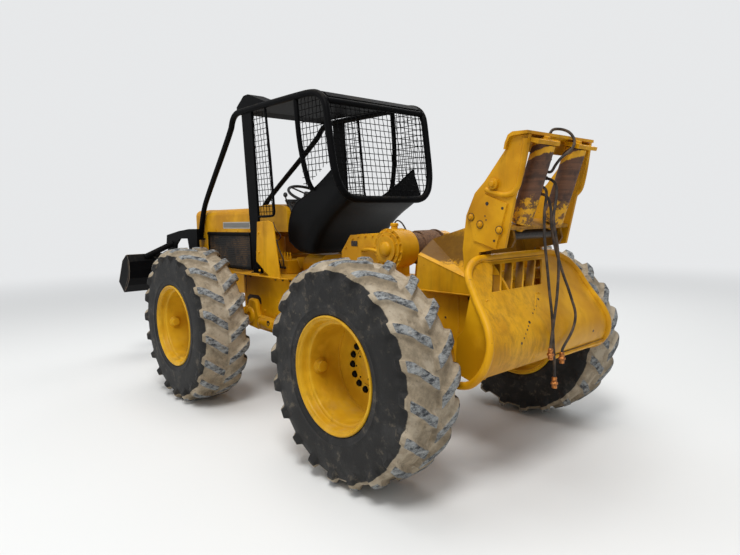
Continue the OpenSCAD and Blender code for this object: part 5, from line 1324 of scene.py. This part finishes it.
class SKIDDER_OT_platform(bpy.types.Operator):
    """Cuts the deck and its side plates, and adds the post feet and the cast steering anchors below"""
    bl_idname = "skidder.platform"
    bl_label = "Platform"

    def execute(self, context):
        soup, dark, cast = Soup(), Soup(), Soup()
        brick(soup, F(-1.070, -0.6, 1.192), F(-0.110, 0.6, 1.200), 0.002)
        for s in (1, -1):
            out = s * LEFT
            slab(soup, SIDE_PLATE, 0.012, on_side(s, 0.588), 0.003)
            tube([F(-1.070, s * 0.6, 1.1965), F(-0.110, s * 0.6, 1.1965)], 0.0062, 8, soup=soup)
            brick(soup, F(-0.585, s * 0.505, 1.1995), F(-0.400, s * 0.596, 1.2140), 0.004)
            for x in (-0.570, -0.418):
                bolt(dark, F(x, s * 0.575, 1.2135), UP, 0.010, 0.009)
            bead(soup, [F(-0.585, s * 0.601, 1.201), F(-0.935, s * 0.601, 1.199)], 0.0042, 0.010)
            slab(cast, ANCHOR, 0.052, on_side(s, 0.4995), 0.016)
            turned(ANCHOR_HUB, F(-0.305, s * 0.548, 0.790), out, 40, cast)
            turned(ANCHOR_BARREL, F(-0.470, s * 0.527, 0.735), (-1, 0, 0), 32, cast)
            ring(cast, F(-0.500, s * 0.527, 0.735), (1, 0, 0), 0.053, 0.004, 40)
            turned(ANCHOR_PLUG, F(-0.672, s * 0.574, 0.755), out, 20, dark)
            for x, z in ((-0.740, 0.968), (-0.700, 0.835), (-0.500, 0.850), (-0.800, 0.700)):
                bolt(cast, F(x, s * 0.4995, z), out, 0.010, 0.008)
            slab(dark, ANCHOR_BACK, 0.0022, on_side(s, 0.4990))
            ring(cast, F(-0.305, s * 0.553, 0.790), out, 0.070, 0.0035, 40)
            tube([F(-0.158, s * 0.4985, 1.17), F(-0.158, s * 0.4985, 0.70)], 0.0035, 6, soup=dark)
        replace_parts(soup.make("deck_plates", need("oily"), "front", "yellow_paint"), "platform")
        cast.make("steering_anchors", need("oily"), "front", "yellow_paint", 40)
        dark.make("deck_dark_bits", need("dark"), "front", "bare_steel")
        return {"FINISHED"}


CYLINDERS = [  # body, barrel eye, rod eye, barrel radius, share of the length where the gland sits
    ("lift_barrel", (0.500, 0.415, 1.060), (1.130, 0.415, 1.420), 0.038, 0.86),
    ("steer_barrel", (-0.600, 0.400, 0.800), (-1.350, 0.220, 0.800), 0.036, 0.66)]
FRAMES = [  # body, its axle, and how far out and where its upright and long welds run in side view
    ("rear", 0.0, 0.3008, [[(0.98, 1.10), (0.98, 0.45)], [(0.32, 1.17), (0.32, 0.64)],
                           [(-0.275, 1.17), (-0.275, 0.92)]]),
    ("front", FRONT, 0.3308, [[(1.802, 1.18), (1.802, 0.66)], [(2.30, 1.18), (3.60, 1.18)]])]
PIVOT_CAP = [(0.055, -0.002), (0.055, 0.010), (0.030, 0.014), (0.008, 0.014), (0.006, 0.024), (0, 0.025)]
BLADE_HALF = 1.0
BLADE_RIB = [(1.797, 1.331), (1.745, 1.250), (1.736, 1.150), (1.763, 1.045)]
BLADE_END = [(1.833, 1.325), (1.970, 1.250), (2.140, 0.985), (1.990, 0.880), (1.880, 0.975), (1.800, 1.060),
             (1.772, 1.150), (1.780, 1.240)]
BLADE_BACK = [(1.802, 1.330), (1.747, 1.250), (1.738, 1.150), (1.765, 1.045), (1.850, 0.955), (1.965, 0.872)]


class SKIDDER_OT_frames(bpy.types.Operator):
    """Adds glands and ports to the cylinders, axle bolts, hinge pin caps, grease nipples and weld seams"""
    bl_idname = "skidder.frames"
    bl_label = "Frames and cylinders"

    def execute(self, context):
        for body, a, b, r, share in CYLINDERS:
            gland = [(r, -0.05), (r + 0.006, -0.048), (r + 0.006, -0.006), (r * 0.8, 0.0035), (r * 0.56, 0.0035)]
            port = [(0.014, 0.0), (0.014, r + 0.010), (0.010, r + 0.013), (0.010, r + 0.024)]
            for s, word in ((1, "_left"), (-1, "_right")):
                soup = Soup()
                p, q = (F(v[0], s * v[1], v[2]) for v in (a, b))
                d, length = unit(q - p), float(np.linalg.norm(q - p))
                turned(gland, p + d * length * share, d, 32, soup)
                ring(soup, p + d * (length * share - 0.056), d, r + 0.001, 0.003, 40)
                for f in (0.14, share - 0.12):
                    turned(port, p + d * length * f, UP, 12, soup)
                soup.make(body + "_fittings" + word, need("oily"), body + word, "yellow_paint")
        for body, axle, seam_y, seams in FRAMES:
            bits = rear_frame_bits if body == "rear" else front_frame_bits
            soup, dark = Soup(), Soup()
            for s in (1, -1):
                out = s * LEFT
                for k in range(12):
                    bolt(dark, P(axle, s * 0.750, AXLE_Z) + spoke(0.119, TAU * (k + 0.5) / 12), out, 0.009, 0.008)
                ring(soup, P(axle, s * 0.420, AXLE_Z), LEFT, 0.0925, 0.005, 48)
                turned([(0.012, 0), (0.012, 0.02), (0.006, 0.026)], P(axle, s * 0.36, AXLE_Z + 0.104), UP, 6, dark)
                for line in seams:
                    bead(soup, [P(x, s * seam_y, z) for x, z in line], 0.0050, 0.009)
                bits(soup, dark, s)
            soup.make(body + "_seams", need("yellow"), body, "yellow_paint")
            dark.make(body + "_bolts", need("dark"), body, "bare_steel")
        soup, dark, worn = Soup(), Soup(), Soup()
        for k in range(11):
            bolt(dark, F(2.075, -0.90 + 0.18 * k, 0.9330), (0.66, 0, -0.75), 0.012, 0.008)
        for y in (-0.715, -0.520, 0.490, 0.685):
            for side in (0.0, 0.030):
                bead(soup, [F(x, y + side, z) for x, z in BLADE_RIB], 0.006, 0.010)
        bead(soup, [F(1.982, -0.99, 0.8745), F(1.982, 0.99, 0.8745)], 0.004, 0.010)
        for s in (1, -1):
            y = s * (BLADE_HALF - 0.001)
            tube([F(x, y, z) for x, z in BLADE_END], 0.0035, 6, True, worn)
            tube([F(x, y, z) for x, z in BLADE_BACK], 0.0035, 6, soup=worn)
        tube([F(1.803, -BLADE_HALF, 1.330), F(1.803, BLADE_HALF, 1.330)], 0.0035, 6, soup=worn)
        worn.make("blade_worn_edges", need("steel"), "blade", "bare_steel")
        soup.make("blade_seams", need("black"), "blade", "black_paint")
        dark.make("blade_bolts", need("dark"), "blade", "bare_steel")
        return {"FINISHED"}


def rear_frame_bits(soup, dark, s):
    """The bolts and ringed holes on one side of the rear frame."""
    out = s * LEFT
    for z in (0.80, 0.88, 0.96, 1.04, 1.12):
        for x in (0.93, 0.86):
            bolt(dark, P(x, s * 0.300, z), out, 0.010, 0.008)
    for x, z, r in ((-0.369, 1.162, 0.013), (-0.157, 1.008, 0.009)):
        turned([(r, -0.001), (r, 0.0015), (0, 0.0012)], P(x, s * 0.3000, z), out, 16, dark)
        ring(soup, P(x, s * 0.3005, z), out, r + 0.002, 0.0022, 24, 6)


def front_frame_bits(soup, dark, s):
    """The arm and cylinder pins' caps, the deck's bolts and weld, and one of the pivot's two caps."""
    out = s * LEFT
    for x, y, z in ((1.0, 0.505, 0.95), (0.5, 0.450, 1.060)):
        turned([(0.024, 0), (0.024, 0.004), (0.012, 0.008), (0, 0.009)], F(x, s * y, z), out, 20, dark)
    for x in (1.50, 1.62, 1.74, 2.20, 2.30):
        bolt(dark, P(x, s * 0.500, 1.165), out, 0.009, 0.007)
    bead(soup, [P(1.42, s * 0.501, 1.188), P(2.33, s * 0.501, 1.188)], 0.0045, 0.010)
    turned(PIVOT_CAP, P(1.225, 0, 1.075 if s > 0 else 0.455), s * UP, 28, dark)


SLOT_FINISH = {"yellow_paint": "yellow", "black_paint": "black", "tyre": "tyre", "bare_steel": "steel",
               "seat_vinyl": "vinyl", "plastic_black": "plastic", "hose_rubber": "hose",
               "brass_fitting": "brass", "chrome_rod": "chrome"}
OWN_FINISH = {"winch_case": "oily", "arch": "arch", "fairlead": "grubby_shaded", "butt_plate": "oily",
              "roller_left": "roller", "roller_right": "roller", "roller_low": "dark", "winch_drum": "rope"}


class SKIDDER_OT_finishes(bpy.types.Operator):
    """Gives every frame node that stays its procedural finish"""
    bl_idname = "skidder.finishes"
    bl_label = "Finishes"

    def execute(self, context):
        slots = {s["node"]: s["material_slot"] for s in frame["record"]["subparts"]}
        for name, obj in NODES.items():
            obj.data.materials.clear()
            obj.data.materials.append(need(OWN_FINISH.get(name) or SLOT_FINISH[slots[name]]))
        return {"FINISHED"}


SEEN = (0.80, 0.81, 0.82, 1)  # what the camera sees round the machine
LAMPS = [  # name, place, size, power
    ("key", (-5.0, 5.0, 10.5), 4.0, 760), ("fill", (6.0, 8.0, 6.0), 8.0, 170),
    ("back", (2.0, -8.0, 7.0), 7.0, 230), ("top", (0.5, 0.5, 9.5), 6.0, 260)]
# The camera as solved from the photograph: focal length and image width in pixels, place from the rear axle
FOCAL, WIDTH, SENSOR = 565.4532, 740, 36.0
EYE = (-2.7626, 3.3081, 1.7181)
YAW, PITCH, ROLL = (math.radians(a) for a in (-41.4591, -6.0328, -1.1068))


class SKIDDER_OT_stage(bpy.types.Operator):
    """Makes the floor, the lamps and the camera"""
    bl_idname = "skidder.stage"
    bl_label = "Stage"

    def execute(self, context):
        _, colours = settings()
        scene = context.scene
        scene.view_settings.view_transform = "Standard"
        g = Graph("studio_floor", colours.floor)
        g.finish(tuple(colours.floor), 0.9, specular_ior_level=0.1)
        way = g.add("ShaderNodeVectorMath", {"operation": "LENGTH"}, {0: g.where()}, "Value")
        far = g.span(way, 4.5, 17.0) * g.add("ShaderNodeLightPath", out="Is Camera Ray")
        glow = g.add("ShaderNodeEmission", None, {"Color": SEEN})
        blend = g.add("ShaderNodeMixShader", None, {0: far, 2: glow})
        g.tree.links.new(g.shader.outputs[0], blend.socket.node.inputs[1])
        g.tree.links.new(blend.socket, g.tree.nodes["Material Output"].inputs[0])
        mesh = bpy.data.meshes.new("floor")
        mesh.from_pydata([(-60, -60, 0), (60, -60, 0), (60, 60, 0), (-60, 60, 0)], [], [(0, 1, 2, 3)])
        mesh.materials.append(g.mat)
        floor = bpy.data.objects.new("floor", mesh)
        scene.collection.objects.link(floor)
        world = bpy.data.worlds.new("studio")
        scene.world = world
        world.use_nodes = True
        tree = world.node_tree
        back = tree.nodes["Background"]
        back.inputs["Color"].default_value = (0.93, 0.96, 1.0, 1)
        back.inputs["Strength"].default_value = 0.50
        plain = tree.nodes.new("ShaderNodeBackground")
        plain.inputs["Color"].default_value = SEEN
        plain.inputs["Strength"].default_value = 1.0
        path = tree.nodes.new("ShaderNodeLightPath")
        pick = tree.nodes.new("ShaderNodeMixShader")
        tree.links.new(path.outputs["Is Camera Ray"], pick.inputs[0])
        tree.links.new(back.outputs[0], pick.inputs[1])
        tree.links.new(plain.outputs[0], pick.inputs[2])
        tree.links.new(pick.outputs[0], tree.nodes["World Output"].inputs[0])
        for name, at, size, power in LAMPS:
            data = bpy.data.lights.new(name, "AREA")
            data.shape, data.size, data.energy = "DISK", size, power
            lamp = bpy.data.objects.new(name, data)
            lamp.location = at
            lamp.rotation_mode = "QUATERNION"
            lamp.rotation_quaternion = (Vector((0, 0, 1)) - Vector(at)).to_track_quat("-Z", "Y")
            scene.collection.objects.link(lamp)
        data = bpy.data.cameras.new("camera")
        data.lens, data.sensor_width = FOCAL / WIDTH * SENSOR, SENSOR
        camera = bpy.data.objects.new("camera", data)
        ahead = Vector((math.cos(PITCH) * math.cos(YAW), math.cos(PITCH) * math.sin(YAW), math.sin(PITCH)))
        right = ahead.cross(Vector((0, 0, 1))).normalized()
        up = right.cross(ahead)
        rolled_right = right * math.cos(ROLL) + up * math.sin(ROLL)
        rolled_up = up * math.cos(ROLL) - right * math.sin(ROLL)
        m = Matrix((rolled_right, rolled_up, -ahead)).transposed().to_4x4()
        m.translation = Vector(P(*EYE))
        camera.matrix_world = m
        scene.collection.objects.link(camera)
        scene.camera = camera
        return {"FINISHED"}


class SKIDDER_PT_panel(bpy.types.Panel):
    """Lists the steps that dress the skidder"""
    bl_label = "Cable skidder"
    bl_idname = "SKIDDER_PT_panel"
    bl_space_type = "VIEW_3D"
    bl_region_type = "UI"
    bl_category = "Skidder"

    def draw(self, context):
        for op in STEPS:
            self.layout.operator(op.bl_idname)
        for group in (context.scene.skidder_sizes, context.scene.skidder_colours):
            box = self.layout.box()
            for key in group.__annotations__:
                box.prop(group, key)


STEPS = [SKIDDER_OT_stage, SKIDDER_OT_finishes, SKIDDER_OT_hoses, SKIDDER_OT_tyres, SKIDDER_OT_wheels,
         SKIDDER_OT_mesh, SKIDDER_OT_canopy, SKIDDER_OT_seat, SKIDDER_OT_butt_plate, SKIDDER_OT_winch,
         SKIDDER_OT_arch, SKIDDER_OT_platform, SKIDDER_OT_hood, SKIDDER_OT_controls, SKIDDER_OT_frames]
CLASSES = [SkidderColours, SkidderSizes, *STEPS, SKIDDER_PT_panel]


def register():
    """Registers the add-on's classes and hangs its two groups on the scene."""
    for c in CLASSES:
        bpy.utils.register_class(c)
    bpy.types.Scene.skidder_sizes = PointerProperty(type=SkidderSizes)
    bpy.types.Scene.skidder_colours = PointerProperty(type=SkidderColours)


def unregister():
    """Takes the groups and classes away again."""
    del bpy.types.Scene.skidder_colours, bpy.types.Scene.skidder_sizes
    for c in reversed(CLASSES):
        bpy.utils.unregister_class(c)


def main():
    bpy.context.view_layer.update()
    register()
    for step in STEPS:
        group, name = step.bl_idname.split(".")
        getattr(getattr(bpy.ops, group), name)()
    bpy.context.view_layer.update()


if __name__ == "__main__":
    main()
